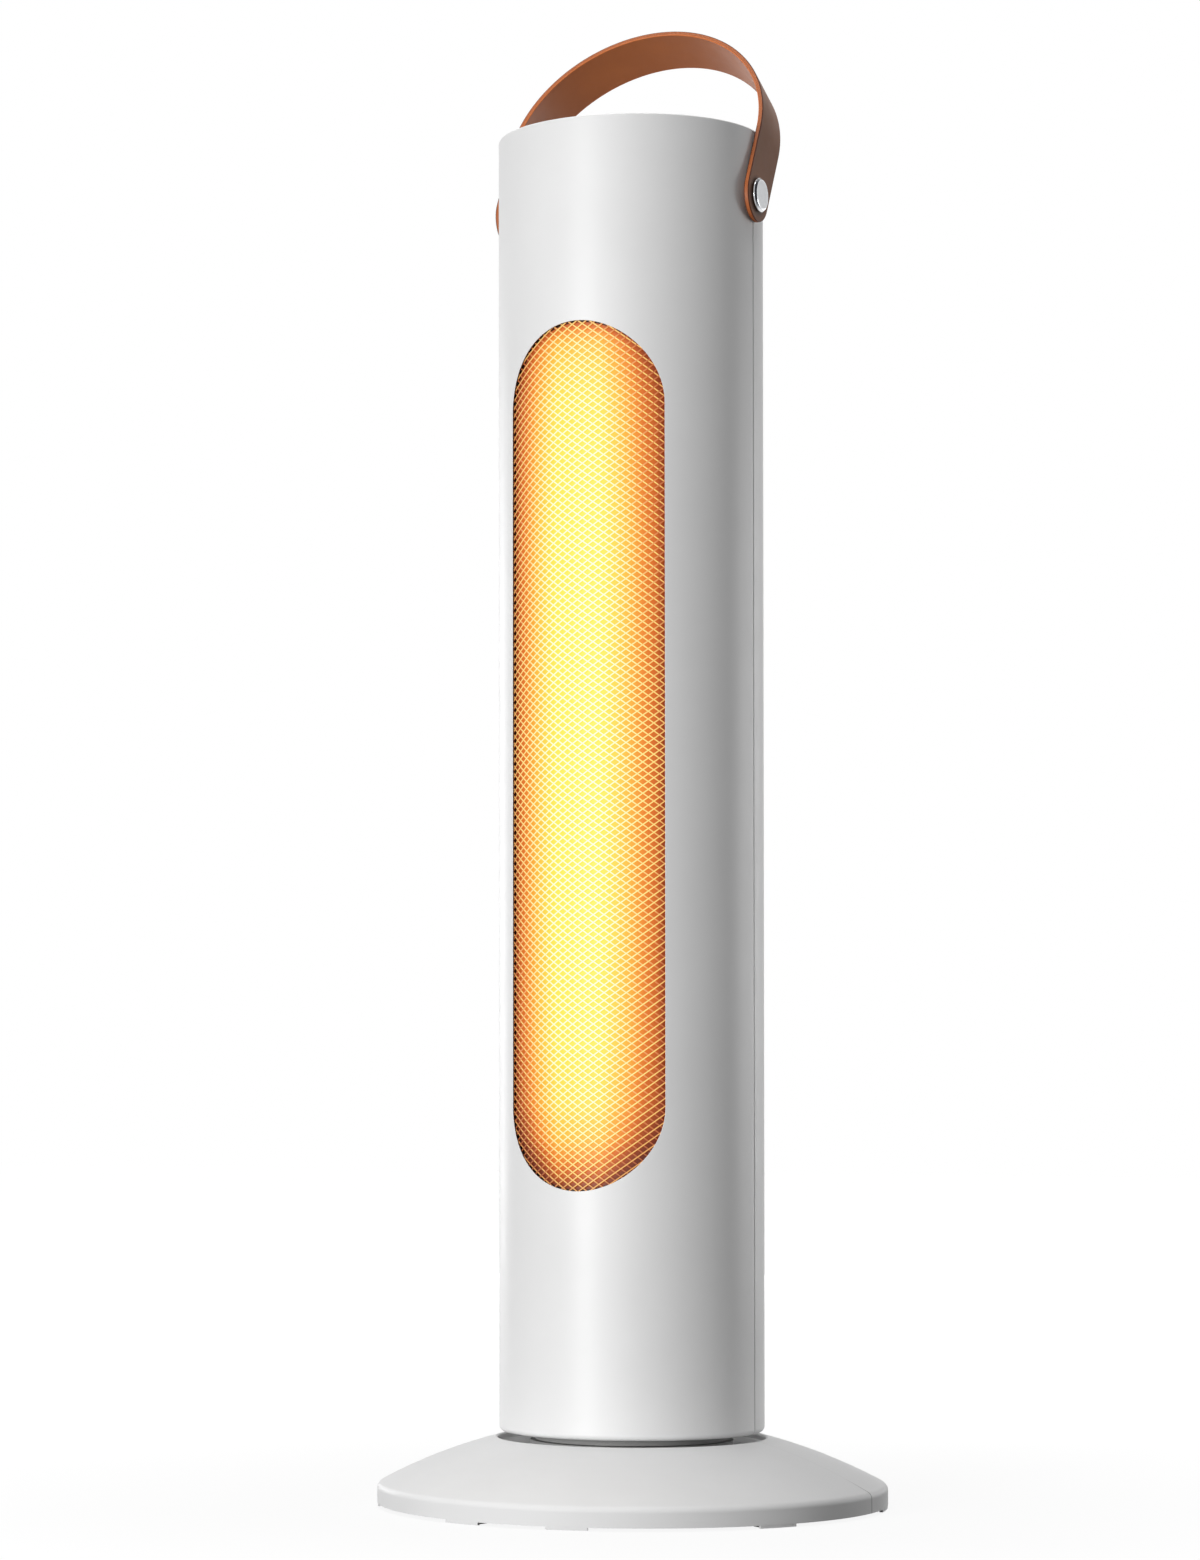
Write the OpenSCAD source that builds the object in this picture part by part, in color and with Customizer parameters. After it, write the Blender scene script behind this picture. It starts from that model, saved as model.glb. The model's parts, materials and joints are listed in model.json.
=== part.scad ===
// Tower space heater: a slim round tower that swings on a domed base, with a leather strap handle.
// The floor is z = 0, the swing axis is Z, and the window in the tower faces -Y.

/* [Tower] */
// Outer diameter of the tower
tower_d = 115; // [108:1:124]
// Height of the tower's shells, from bottom edge to top rim
tower_h = 561; // [480:1:640]
// Wall thickness of the two shells
shell_t = 2.5; // [2:0.1:3]
// Rounding of the tower's bottom edge
tower_edge_r = 3.5; // [2.6:0.1:4.5]
// Rounding of the tower's top rim
rim_edge_r = 0.9; // [0.4:0.1:1.2]
// Joint between the front and rear shells
seam_gap = 0.3; // [0.1:0.1:0.6]
// Depth of the top cap below the rim
cap_recess = 6; // [3:0.5:10]
// Thickness of the top cap
cap_t = 3; // [2.5:0.1:4]

/* [Window] */
// Width of the window, straight across
window_w = 71; // [60:1:74]
// Shell left above the window
window_top = 87; // [80:1:110]
// Shell left below the window
window_bottom = 105; // [100:1:140]
// Wall left around the window, where the shell is rebated for the grille
window_t = 1; // [0.8:0.1:1.4]
// Thickness of the wire grille
grille_t = 0.8; // [0.6:0.1:1]
// Width of one diamond in the grille, along the wall
diamond_w = 14; // [12:0.5:20]
// Height of one diamond in the grille
diamond_h = 12.5; // [11:0.5:18]
// Width of the strands between the diamonds
strand_w = 1.4; // [1:0.1:2]

/* [Base] */
// Outer diameter of the base
base_d = 221; // [205:1:250]
// Radius of the base's dome
dome_r = 232; // [180:1:300]
// Height of the rim, up to where the dome would meet it
rim_h = 8; // [7:0.5:12]
// Rounding between rim and dome
rim_round_r = 3.2; // [2:0.1:6]
// Wall thickness of the base cover
base_t = 2.5; // [2:0.1:3]
// Height of the rubber feet
foot_h = 1.4; // [1:0.1:3]
// Arc length of one rubber foot
foot_l = 11.5; // [9:0.5:17]
// Arc length of the rim's tab in front of each foot
rim_tab_l = 18; // [17:0.5:24]
// Gap between the base and the tower's bottom edge
swing_gap = 2.2; // [1:0.1:4]
// Radial clearance around the tower at the base's well
well_clear = 0.5; // [0.5:0.1:6]
// Depth of the well under the tower
well_depth = 3; // [2.6:0.1:5]
// Thickness of the bottom plate
plate_t = 3; // [2.6:0.1:4]
// Thickness of the ballast ring
ballast_t = 9; // [6:0.5:9.5]

/* [Handle] */
// Width of the strap
strap_w = 22.8; // [18:0.2:28]
// Thickness of the strap
strap_t = 2.2; // [1.6:0.1:3.2]
// Straight length of each strap leg above its pivot
strap_leg = 28.6; // [24:0.2:40]
// Depth of the handle's pivot below the top rim
pivot_drop = 28.7; // [26:0.1:34]
// Backward lean of the strap at rest
strap_lean = 27.2; // [0:0.1:60]
// Diameter of the rivet heads
rivet_d = 14.2; // [11:0.2:18]
// Thickness of the rivet heads
rivet_t = 1.8; // [1.4:0.1:3.5]
// Diameter of the rivet shanks
rivet_shank_d = 5; // [4:0.2:6]

/* [Swing drive] */
// Outer diameter of the hollow spindle
spindle_d = 22; // [19:0.5:24]
// Wall thickness of the spindle
spindle_t = 3; // [2:0.5:4]
// Size of the gear teeth
gear_module = 1; // [0.9:0.05:1.1]
// Teeth on the fixed gear
gear_teeth = 40; // [36:2:44]
// Teeth on the motor's pinion
pinion_teeth = 18; // [16:2:20]
// Face width of the fixed gear
gear_w = 6; // [4:0.5:8]
// Diameter of the swing motor
motor_d = 28; // [24:0.5:28]
// Height of the swing motor
motor_h = 19; // [12:1:24]

/* [Heating element] */
// Outer diameter of the quartz tube
tube_d = 12; // [9:0.5:13]
// Wall thickness of the quartz tube
tube_t = 1; // [0.6:0.1:1.5]
// Distance from the reflector's bottom to the tube's axis
focus = 9.5; // [9:0.1:11]
// Thickness of the chassis and bracket sheet
sheet_t = 1.2; // [0.8:0.1:1.5]
// Thickness of the reflector sheet
reflector_t = 0.6; // [0.4:0.1:1]

/* [Controls] */
// Diameter of the buttons
button_d = 12; // [9:0.5:14]
// Distance between the buttons
button_pitch = 18; // [17:0.5:19]
// Travel of the buttons
button_travel = 1.2; // [0.6:0.1:1.5]
// Height of the buttons above the dish in the cap
button_proud = 1.4; // [1.3:0.1:2]

/* [Hidden] */

// Overrun of every cut, fit of fixed pieces, clearance of moving pieces, and the running fit on a shaft
cut_over = 1;
fit_gap = 0.2;
run_gap = 0.3;
shaft_gap = 0.05;

// Screws, shared by the whole heater
screw_r = 1.5;
screw_head_r = 3;
screw_head_h = 2;
screw_clear = 0.3;
base_screw_l = 4;
motor_screw_l = 9;
shell_screw_l = 24;

// Tower walls and levels
tower_r = tower_d / 2;
inner_r = tower_r - shell_t;
base_r = base_d / 2;
well_r = tower_r + well_clear;
dome_centre_z = foot_h + rim_h - sqrt(dome_r * dome_r - base_r * base_r);
well_edge_r = 1;
well_edge_z = dome_centre_z + sqrt(dome_r * dome_r - well_r * well_r);
well_z = well_edge_z - well_depth;
tower_z = well_edge_z + swing_gap;
top_z = tower_z + tower_h;
seam_angle = asin(seam_gap / 2 / tower_r);
flange_w = 4;
floor_t = 4;
floor_z = tower_z + shell_t;
floor_top = floor_z + floor_t;
keeper_w = 2;
keeper_h = 2;
cap_z = top_z - cap_recess - cap_t;
ledge_w = 3;
ledge_t = 2.5;
pivot_z = top_z - pivot_drop;

// Lip behind the seam
lap_t = 1.4;
lap_gap = 0.1;
lap_angle = 3;

// Bosses and screws that join the shells
boss_inset = 9.5;
boss_x = tower_r - boss_inset;
boss_r = 4.6;
boss_l = 22;
boss_seat = 12;
boss_rib_t = 2;
boss_low = 42;
boss_high = 35;
boss_levels = [tower_z + boss_low, (tower_z + boss_low + pivot_z - boss_high) / 2, pivot_z - boss_high];

// Vent slots in the rear shell
vent_w = 22;
vent_h = 3;
vent_pitch = 9;
vent_rows = 9;
vent_columns = 3;
vent_column_angle = 28;
vent_low = 66;
vent_high = 64;

// Window, grille and its frame
window_low_z = tower_z + window_bottom;
window_high_z = top_z - window_top;
window_mid_z = (window_low_z + window_high_z) / 2;
window_h = window_high_z - window_low_z;
rebate_r = tower_r - window_t;
grille_r = rebate_r - fit_gap;
frame_t = 1;
frame_r = grille_r - grille_t;
frame_in_r = frame_r - frame_t;
grille_margin = 6;
frame_step = 2;
screen_t = 1;
screen_r = frame_r - fit_gap;
screen_step = frame_step - 2 * fit_gap;
window_angle = asin(window_w / 2 / tower_r);
grille_angle = window_angle + grille_margin / tower_r * 180 / PI;
rebate_angle = grille_angle + fit_gap / tower_r * 180 / PI;

// Chassis, reflector and heating tube
web_y = 4.4;
leg_x = window_w / 2 + fit_gap;
leg_in_x = leg_x - sheet_t;
leg_front_y = sqrt(pow(inner_r - keeper_w - fit_gap, 2) - leg_x * leg_x);
web_low = 22;
web_z = floor_top + web_low;
foot_tab_l = 9;
foot_tab_w = 12;
foot_tab_y = 14;
bracket_h = 16;
bracket_w = 16;
chamber_over = 12;
chamber_z = window_low_z - chamber_over;
chamber_top = window_high_z + chamber_over;
dish_y = web_y + sheet_t + reflector_t;
reflector_steps = 20;
reflector_inset = 1.4;
tube_y = dish_y + focus;
tube_r = tube_d / 2;
tube_seat = 8;
holder_r = tube_r + 2 * tube_t;
holder_l = 16;
holder_up = 6;
lead_hole_r = 2;
filament_r = 1.6;
crimp_r = 2.8;
crimp_l = 12;
bracket_front_y = sqrt(pow(frame_in_r - run_gap, 2) - leg_in_x * leg_in_x);
bracket_tab_h = 10;

// Electrical parts on the chassis
lead_r = 2.6;
terminal_w = 28;
terminal_d = 12;
terminal_h = 12;
board_t = 1.6;
power_board_w = 58;
power_board_h = 90;
power_board_low = 14;
power_board_z = web_z + power_board_low + terminal_h;
spacer_l = 5;
spacer_r = 3;
spacer_inset = 5;
tilt_w = 12;
tilt_d = 9;
power_board_y = spacer_l - web_y;
relay_w = 19;
relay_h = 25;
relay_d = 15;
relay_x = 14;
relay_z = power_board_z + 3 * spacer_inset;
capacitor_d = 16;
sink_w = 30;
sink_h = 20;
sink_z = relay_z + relay_h + 2 * spacer_inset;
sink_pitch = 7;
sink_slot_w = 4;
sink_back_t = 4;
cutout_r = 8;
cutout_h = 6;
cutout_down = 60;
loom_r = 2;
loom_x = 24;

// Base: bottom plate, ballast, screws, feet and cord inlet
plate_r = base_r - base_t - fit_gap;
plate_top = foot_h + plate_t;
ballast_in_r = 34;
ballast_inset = 22.5;
ballast_out_r = base_r - ballast_inset;
base_boss_r = 4;
base_boss_inset = 16.5;
base_boss_ring = base_r - base_boss_inset;
base_boss_angles = [35, 78, 145, 215, 282, 325];
plate_skin = 1;
foot_w = 8;
foot_in = 3;
foot_angles = [9.7, 57, 103.5, 141.5, 180, 216, 250.1, 296.7, 343.9];
rim_tab_t = 1.4;
rim_tab_lift = 0.2;
rim_tab_inset = 0.15;
gland_wall = 0.8;
gland_l = 9;
gland_flange = 1.2;
lead_z = foot_h + lead_r + gland_wall;
lead_bend = 10;

// Swing bearing and drive, with the teeth's tip, root and play as shares of the module
tip_share = 0.9;
root_share = 1.2;
play_share = 0.12;
spindle_r = spindle_d / 2;
spindle_flange_r = 28;
spindle_flange_t = 3;
spindle_flange_top = plate_top + spindle_flange_t;
spindle_screw_ring = 20;
thrust_r = 40;
thrust_w = 8;
thrust_t = 1.6;
thrust_rib_w = 4;
bush_t = 2;
bush_r = spindle_r + bush_t;
hub_wall = 3;
hub_r = bush_r + hub_wall;
hub_up = 5;
hub_top = floor_top + hub_up;
cover_hub_r = spindle_r + run_gap + base_t;
gear_z = hub_top + run_gap;
nut_t = 3;
nut_r = spindle_r + 2 * gear_module + base_t;
spindle_top = gear_z + gear_w + nut_t + cut_over;
gear_pitch_r = gear_module * gear_teeth / 2;
pinion_pitch_r = gear_module * pinion_teeth / 2;
gear_play = play_share * gear_module;
pinion_y = gear_pitch_r + pinion_pitch_r + gear_play;
pinion_over = 1;
pinion_w = gear_w + 2 * pinion_over;
motor_shaft_r = 2.5;
motor_offset = 8;
motor_lift = 2;
motor_z = gear_z + gear_w + pinion_over + motor_lift;
motor_y = pinion_y + motor_offset;
motor_plate_t = 1;
motor_ear_x = 17.5;
motor_ear_r = 3.5;
motor_socket = 6;
pressure_angle = 20;
flank_steps = 3;

// Top cap, buttons and control board
dish_in = 7;
dish_depth = 0.8;
dish_z = cap_z + cap_t - dish_depth;
button_r = button_d / 2;
button_y = 14;
button_flange_w = 1.2;
button_flange_t = 1.2;
button_stem_r = 2;
button_edge_r = 0.8;
hook_t = 1.6;
hook_w = 8;
hook_barb = 1;
hook_angles = [45, 135, 225, 315];
switch_size = 6;
switch_h = 4;
board_drop = 9;
control_board_r = 33;
control_board_z = cap_z - board_drop - board_t;
post_r = 3;
post_ring = 27;
post_angles = [30, 90, 150];
lens_r = 1.8;
lens_y = 6;

// Strap handle
strap_in_r = tower_r + run_gap;
strap_out_r = strap_in_r + strap_t;
strap_hole_r = rivet_shank_d / 2 + shaft_gap;
rivet_r = rivet_d / 2;
rivet_x = strap_out_r + fit_gap;
rivet_bevel = 0.6;
rivet_l = 20;
shell_hole_clear = 0.4;

// Points along an arc in n steps, from angle a to angle b
function arc(x, y, r, a, b, n) =
    [for (i = [0:n]) [x + r * cos(a + (b - a) * i / n), y + r * sin(a + (b - a) * i / n)]];

// Height above the dome's centre of a point at radius x on a sphere of radius r
function rise(r, x) = sqrt(r * r - x * x);

// Involute of a circle of radius b, at radius r: the angle that it has turned, in degrees
function involute(b, r) = sqrt(r * r / (b * b) - 1) * 180 / PI - acos(b / r);

module screw(length) {
    translate([0, 0, -screw_head_h]) cylinder(r = screw_head_r, h = screw_head_h, $fn = 24);
    translate([0, 0, -screw_head_h / 2]) cylinder(r = screw_r, h = length + screw_head_h / 2, $fn = 24);
}

// Block, centred on x = 0, from y0 to y1 and z0 to z1
module slab(w, y0, y1, z0, z1) {
    translate([-w / 2, y0, z0]) cube([w, y1 - y0, z1 - z0]);
}

module tower_core(r, z0, z1) {
    translate([0, 0, z0]) cylinder(r = r, h = z1 - z0, $fn = 120);
}

// Stadium outline, upright, with its centre at the origin
module stadium(w, h) {
    square([w, h - w], center = true);
    for (s = [-1, 1]) translate([0, s * (h - w) / 2]) circle(d = w, $fn = 64);
}

module along_y(y0, y1) {
    translate([0, y1, 0]) rotate([90, 0, 0]) linear_extrude(height = y1 - y0) children();
}

// Toothed outline with one tooth centred on +X. Its thickness at the pitch circle leaves the play.
module gear_outline(teeth) {
    pitch_r = gear_module * teeth / 2;
    tip_r = pitch_r + tip_share * gear_module;
    root_r = pitch_r - root_share * gear_module;
    flank_base_r = pitch_r * cos(pressure_angle);
    start_r = max(flank_base_r, root_r);
    half = 90 / teeth - gear_play / pitch_r * 90 / PI + involute(flank_base_r, pitch_r);
    flank = [for (i = [0:flank_steps]) let (r = start_r + (tip_r - start_r) * i / flank_steps)
        [r, half - involute(flank_base_r, r)]];
    tooth = concat([[root_r, -flank[0][1]]], [for (p = flank) [p[0], -p[1]]],
        [for (i = [flank_steps:-1:0]) flank[i]], [[root_r, flank[0][1]]]);
    polygon([for (k = [0:teeth - 1], p = tooth)
        [p[0] * cos(p[1] + k * 360 / teeth), p[0] * sin(p[1] + k * 360 / teeth)]]);
}

// Base

// Section of the base cover: dome and rim outside, well and hub in the middle
module base_section() {
    round_x = base_r - rim_round_r;
    round_z = dome_centre_z + rise(dome_r - rim_round_r, round_x);
    round_a = atan2(round_z - dome_centre_z, round_x);
    edge_x = well_r + well_edge_r;
    edge_z = dome_centre_z + rise(dome_r - well_edge_r, edge_x);
    edge_a = atan2(edge_z - dome_centre_z, edge_x);
    in_r = dome_r - base_t;
    in_a = acos((base_r - base_t) / in_r);
    in_b = acos((well_r + base_t) / in_r);
    polygon(concat(
        [[base_r - base_t, foot_h], [base_r, foot_h]],
        arc(round_x, round_z, rim_round_r, 0, round_a, 6),
        arc(0, dome_centre_z, dome_r, round_a, edge_a, 8),
        arc(edge_x, edge_z, well_edge_r, edge_a, 180, 4),
        [[well_r, well_z], [spindle_r + run_gap, well_z], [spindle_r + run_gap, spindle_flange_top],
            [cover_hub_r, spindle_flange_top], [cover_hub_r, well_z - base_t],
            [well_r + base_t, well_z - base_t]],
        arc(0, dome_centre_z, in_r, in_b, in_a, 8)));
}

module base_cover() color([0.93, 0.93, 0.92]) {
    difference() {
        union() {
            rotate_extrude($fn = 144) base_section();
            rim_tabs();
            intersection() {
                for (a = base_boss_angles) rotate(a) translate([0, -base_boss_ring, plate_top])
                    cylinder(r = base_boss_r, h = well_z, $fn = 32);
                translate([0, 0, dome_centre_z]) sphere(r = dome_r - base_t / 2, $fn = 180);
            }
        }
        for (a = base_boss_angles) rotate(a) translate([0, -base_boss_ring, 0])
            cylinder(r = screw_r, h = plate_top + base_screw_l, $fn = 24);
        translate([0, 0, lead_z]) along_y(plate_r - cut_over, base_r + cut_over)
            circle(r = lead_r + gland_wall, $fn = 32);
        slab(2 * (lead_r + gland_wall), plate_r - cut_over, base_r + cut_over, 0, lead_z);
    }
}

module base_plate() color([0.16, 0.16, 0.17]) {
    difference() {
        translate([0, 0, foot_h]) cylinder(r = plate_r, h = plate_t, $fn = 144);
        for (a = base_boss_angles) rotate(a) translate([0, -base_boss_ring, 0]) plate_screw_hole();
        for (a = [45:90:315]) rotate(a) translate([0, -spindle_screw_ring, 0]) plate_screw_hole();
        slab(2 * (lead_r + gland_wall), 0, base_r, lead_z - lead_r, plate_top + cut_over);
        translate([0, 0, lead_z - lead_r]) cylinder(r = spindle_r - spindle_t, h = plate_t, $fn = 48);
        slab(2 * (lead_r + gland_wall), plate_r - gland_l, base_r, 0, plate_top);
    }
}

// Hole from below for a sunk screw head
module plate_screw_hole() {
    cylinder(r = screw_r + screw_clear, h = plate_top + cut_over, $fn = 24);
    cylinder(r = screw_head_r + screw_clear, h = foot_h + plate_t - plate_skin, $fn = 32);
}

module ballast_weight() color([0.35, 0.35, 0.37]) {
    translate([0, 0, plate_top]) difference() {
        cylinder(r = ballast_out_r, h = ballast_t, $fn = 120);
        translate([0, 0, -cut_over]) cylinder(r = ballast_in_r, h = ballast_t + 2 * cut_over, $fn = 64);
        slab(4 * lead_r, 0, base_r, -cut_over, ballast_t + cut_over);
    }
}

module at_feet(l) {
    turn = l / base_r * 180 / PI;
    for (a = foot_angles) rotate_extrude(angle = turn, start = a - 90 - turn / 2, $fn = 144) children();
}

// Tabs of the rim that hide the rubber feet, just clear of the floor
module rim_tabs() {
    at_feet(rim_tab_l) translate([base_r - rim_tab_inset - rim_tab_t, rim_tab_lift])
        square([rim_tab_t, foot_h - rim_tab_lift + base_t / 2]);
}

module rubber_feet() color([0.75, 0.75, 0.74]) {
    at_feet(foot_l) translate([plate_r - foot_w - fit_gap, 0]) square([foot_w, foot_h]);
}

module base_screws() color([0.6, 0.6, 0.62]) {
    for (a = base_boss_angles) rotate(a) translate([0, -base_boss_ring, plate_top - plate_skin])
        screw(base_screw_l);
}

module swivel_spindle() color([0.62, 0.63, 0.65]) {
    difference() {
        rotate_extrude($fn = 64) polygon([
            [spindle_r - spindle_t, plate_top], [spindle_flange_r, plate_top],
            [spindle_flange_r, spindle_flange_top], [spindle_r, spindle_flange_top],
            [spindle_r, spindle_top], [spindle_r - spindle_t, spindle_top]]);
        slab(3 * lead_r, 0, spindle_flange_r + cut_over, plate_top - cut_over, lead_z + 2 * lead_r);
        for (a = [45:90:315]) rotate(a) translate([0, -spindle_screw_ring, 0])
            cylinder(r = screw_r, h = spindle_flange_top + cut_over, $fn = 24);
    }
}

module spindle_screws() color([0.6, 0.6, 0.62]) {
    for (a = [45:90:315]) rotate(a) translate([0, -spindle_screw_ring, plate_top - plate_skin])
        screw(plate_skin + spindle_flange_t - fit_gap);
}

module fixed_gear() color([0.9, 0.88, 0.8]) {
    translate([0, 0, gear_z]) difference() {
        linear_extrude(height = gear_w) rotate(180 / gear_teeth + 90) gear_outline(gear_teeth);
        translate([0, 0, -cut_over]) cylinder(r = spindle_r, h = gear_w + 2 * cut_over, $fn = 64);
    }
}

module spindle_nut() color([0.7, 0.7, 0.72]) {
    translate([0, 0, gear_z + gear_w]) difference() {
        cylinder(r = nut_r, h = nut_t, $fn = 6);
        translate([0, 0, -cut_over]) cylinder(r = spindle_r, h = nut_t + 2 * cut_over, $fn = 64);
    }
}

module thrust_ring() color([0.2, 0.2, 0.22]) {
    translate([0, 0, well_z]) difference() {
        cylinder(r = thrust_r + thrust_w / 2, h = thrust_t, $fn = 96);
        translate([0, 0, -cut_over])
            cylinder(r = thrust_r - thrust_w / 2, h = thrust_t + 2 * cut_over, $fn = 96);
    }
}

module cord_gland() color([0.2, 0.2, 0.2]) {
    difference() {
        union() {
            translate([0, 0, lead_z]) along_y(base_r - gland_l, base_r - fit_gap)
                circle(r = lead_r + gland_wall, $fn = 32);
            translate([0, 0, lead_z]) along_y(base_r - base_t - gland_flange, base_r - base_t)
                circle(r = lead_r + gland_wall, $fn = 32);
        }
        translate([0, 0, lead_z]) along_y(base_r - gland_l - cut_over, base_r + cut_over)
            circle(r = lead_r, $fn = 32);
    }
}

module base_lead() color([0.15, 0.15, 0.15]) {
    translate([0, 0, lead_z]) along_y(lead_bend, base_r - gland_l) circle(r = lead_r, $fn = 32);
    translate([0, lead_bend, lead_z + lead_bend]) rotate([90, 0, -90])
        rotate_extrude(angle = 90, start = 270, $fn = 96)
            translate([lead_bend, 0]) circle(r = lead_r, $fn = 32);
    translate([0, 0, lead_z + lead_bend])
        cylinder(r = lead_r, h = spindle_top - lead_z - lead_bend, $fn = 32);
}

// Tower: floor, bearing and motor

module tower_floor() color([0.85, 0.85, 0.84]) {
    difference() {
        union() {
            rotate_extrude($fn = 120) polygon([
                [bush_r, well_z + run_gap], [hub_r, well_z + run_gap], [hub_r, floor_z],
                [thrust_r - thrust_rib_w / 2, floor_z],
                [thrust_r - thrust_rib_w / 2, well_z + thrust_t + run_gap],
                [thrust_r + thrust_rib_w / 2, well_z + thrust_t + run_gap],
                [thrust_r + thrust_rib_w / 2, floor_z], [inner_r - fit_gap, floor_z],
                [inner_r - fit_gap, floor_top], [hub_r, floor_top], [hub_r, hub_top], [bush_r, hub_top]]);
            for (s = [-1, 1]) translate([s * motor_ear_x, motor_y, floor_z + floor_t / 2])
                cylinder(r = motor_ear_r, h = motor_z - floor_z - floor_t / 2, $fn = 32);
        }
        for (s = [-1, 1]) {
            translate([s * motor_ear_x, motor_y, floor_z + plate_skin])
                cylinder(r = screw_r, h = motor_z, $fn = 24);
            translate([s * (leg_x + foot_tab_l / 2), -foot_tab_y, floor_z - cut_over])
                cylinder(r = screw_r, h = floor_t + 2 * cut_over, $fn = 24);
        }
    }
}

module swivel_bush() color([0.72, 0.6, 0.35]) {
    translate([0, 0, well_z + run_gap]) difference() {
        cylinder(r = bush_r, h = hub_top - well_z - run_gap, $fn = 64);
        translate([0, 0, -cut_over])
            cylinder(r = spindle_r + shaft_gap, h = hub_top - well_z + cut_over, $fn = 64);
    }
}

module swing_motor() color([0.75, 0.76, 0.78]) {
    difference() {
        union() {
            translate([0, motor_y, motor_z]) cylinder(d = motor_d, h = motor_h, $fn = 64);
            translate([0, motor_y, motor_z]) linear_extrude(height = motor_plate_t) {
                square([2 * motor_ear_x, 2 * motor_ear_r], center = true);
                for (s = [-1, 1]) translate([s * motor_ear_x, 0]) circle(r = motor_ear_r, $fn = 32);
            }
        }
        translate([0, pinion_y, motor_z - cut_over])
            cylinder(r = motor_shaft_r + shaft_gap, h = motor_socket + cut_over, $fn = 32);
        for (s = [-1, 1]) translate([s * motor_ear_x, motor_y, motor_z - cut_over])
            cylinder(r = screw_r + screw_clear, h = motor_plate_t + 2 * cut_over, $fn = 24);
    }
}

module motor_screws() color([0.6, 0.6, 0.62]) {
    for (s = [-1, 1]) translate([s * motor_ear_x, motor_y, motor_z + motor_plate_t])
        rotate([180, 0, 0]) screw(motor_screw_l);
}

// Section of the tower's wall, with the flanges that hold its floor and its top cap
module wall_section() {
    polygon(concat(
        [[inner_r - flange_w, tower_z]],
        arc(tower_r - tower_edge_r, tower_z + tower_edge_r, tower_edge_r, -90, 0, 6),
        arc(tower_r - rim_edge_r, top_z - rim_edge_r, rim_edge_r, 0, 90, 4),
        [[inner_r, top_z], [inner_r, cap_z], [inner_r - ledge_w, cap_z],
            [inner_r - ledge_w, cap_z - ledge_t], [inner_r, cap_z - ledge_t],
            [inner_r, floor_top + keeper_h], [inner_r - keeper_w, floor_top + keeper_h],
            [inner_r - keeper_w, floor_top], [inner_r, floor_top], [inner_r, floor_z],
            [inner_r - flange_w, floor_z]]));
}

module half_wall(start) {
    rotate_extrude(angle = 180 - 2 * seam_angle, start = start + seam_angle, $fn = 120) wall_section();
}

// Lip of the front shell that covers the seam from inside
module seam_lips() {
    lip_z = floor_top + keeper_h;
    lip_h = pivot_z - bracket_h / 2 - fit_gap - lip_z;
    for (s = [-1, 1]) translate([0, 0, lip_z]) {
        rotate_extrude(angle = lap_angle, $fn = 120,
                       start = s < 0 ? 180 + seam_angle : -seam_angle - lap_angle)
            translate([inner_r - lap_t, 0]) square([lap_t + shell_t / 2, lip_h]);
        rotate_extrude(angle = 2 * lap_angle, start = s < 0 ? 180 - lap_angle : -lap_angle, $fn = 120)
            translate([inner_r - lap_t, 0]) square([lap_t - lap_gap, lip_h]);
    }
}

module front_shell() color([0.94, 0.94, 0.93]) {
    difference() {
        union() {
            half_wall(180);
            seam_lips();
            intersection() {
                front_bosses();
                tower_core(inner_r + shell_t / 2, tower_z, top_z);
            }
        }
        translate([0, 0, window_mid_z]) along_y(-tower_r - cut_over, -boss_l)
            stadium(window_w, window_h);
        curved_sheet(rebate_r, rebate_r - inner_r + cut_over, rebate_angle,
                     window_low_z - grille_margin - fit_gap,
            window_high_z + grille_margin + fit_gap);
        pivot_line(rivet_shank_d / 2 + shell_hole_clear);
        for (s = [-1, 1], z = boss_levels) translate([s * boss_x, 0, z])
            along_y(-boss_l + screw_head_h, cut_over) circle(r = screw_r, $fn = 24);
    }
}

module front_bosses() {
    for (s = [-1, 1], z = boss_levels) translate([s * boss_x, 0, z]) {
        along_y(-boss_l, -seam_gap / 2) circle(r = boss_r, $fn = 32);
        along_y(-boss_l, -lap_angle * tower_r * PI / 180) translate([s * boss_r, 0])
            square([2 * boss_r, boss_rib_t], center = true);
    }
}

module rear_shell() color([0.94, 0.94, 0.93]) {
    difference() {
        union() {
            half_wall(0);
            intersection() {
                for (s = [-1, 1], z = boss_levels) translate([s * boss_x, 0, z])
                    along_y(seam_gap / 2, tower_r) circle(r = boss_r, $fn = 32);
                tower_core(inner_r + shell_t / 2, tower_z, top_z);
            }
        }
        pivot_line(rivet_shank_d / 2 + shell_hole_clear);
        for (s = [-1, 1], z = boss_levels) translate([s * boss_x, 0, z]) {
            along_y(-cut_over, tower_r) circle(r = screw_r + screw_clear, $fn = 24);
            along_y(boss_seat, tower_r) circle(r = screw_head_r + screw_clear, $fn = 32);
        }
        vents(tower_z + vent_low);
        vents(pivot_z - vent_high - (vent_rows - 1) * vent_pitch);
    }
}

// Rows of round-ended slots across the back
module vents(z) {
    for (row = [0:vent_rows - 1], column = [0:vent_columns - 1])
        rotate((column - (vent_columns - 1) / 2) * vent_column_angle)
            translate([0, 0, z + row * vent_pitch]) along_y(inner_r / 2, tower_r + cut_over)
                rotate(90) stadium(vent_h, vent_w);
}

module shell_screws() color([0.6, 0.6, 0.62]) {
    for (s = [-1, 1], z = boss_levels) translate([s * boss_x, boss_seat, z])
        rotate([90, 0, 0]) screw(shell_screw_l);
}

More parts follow.
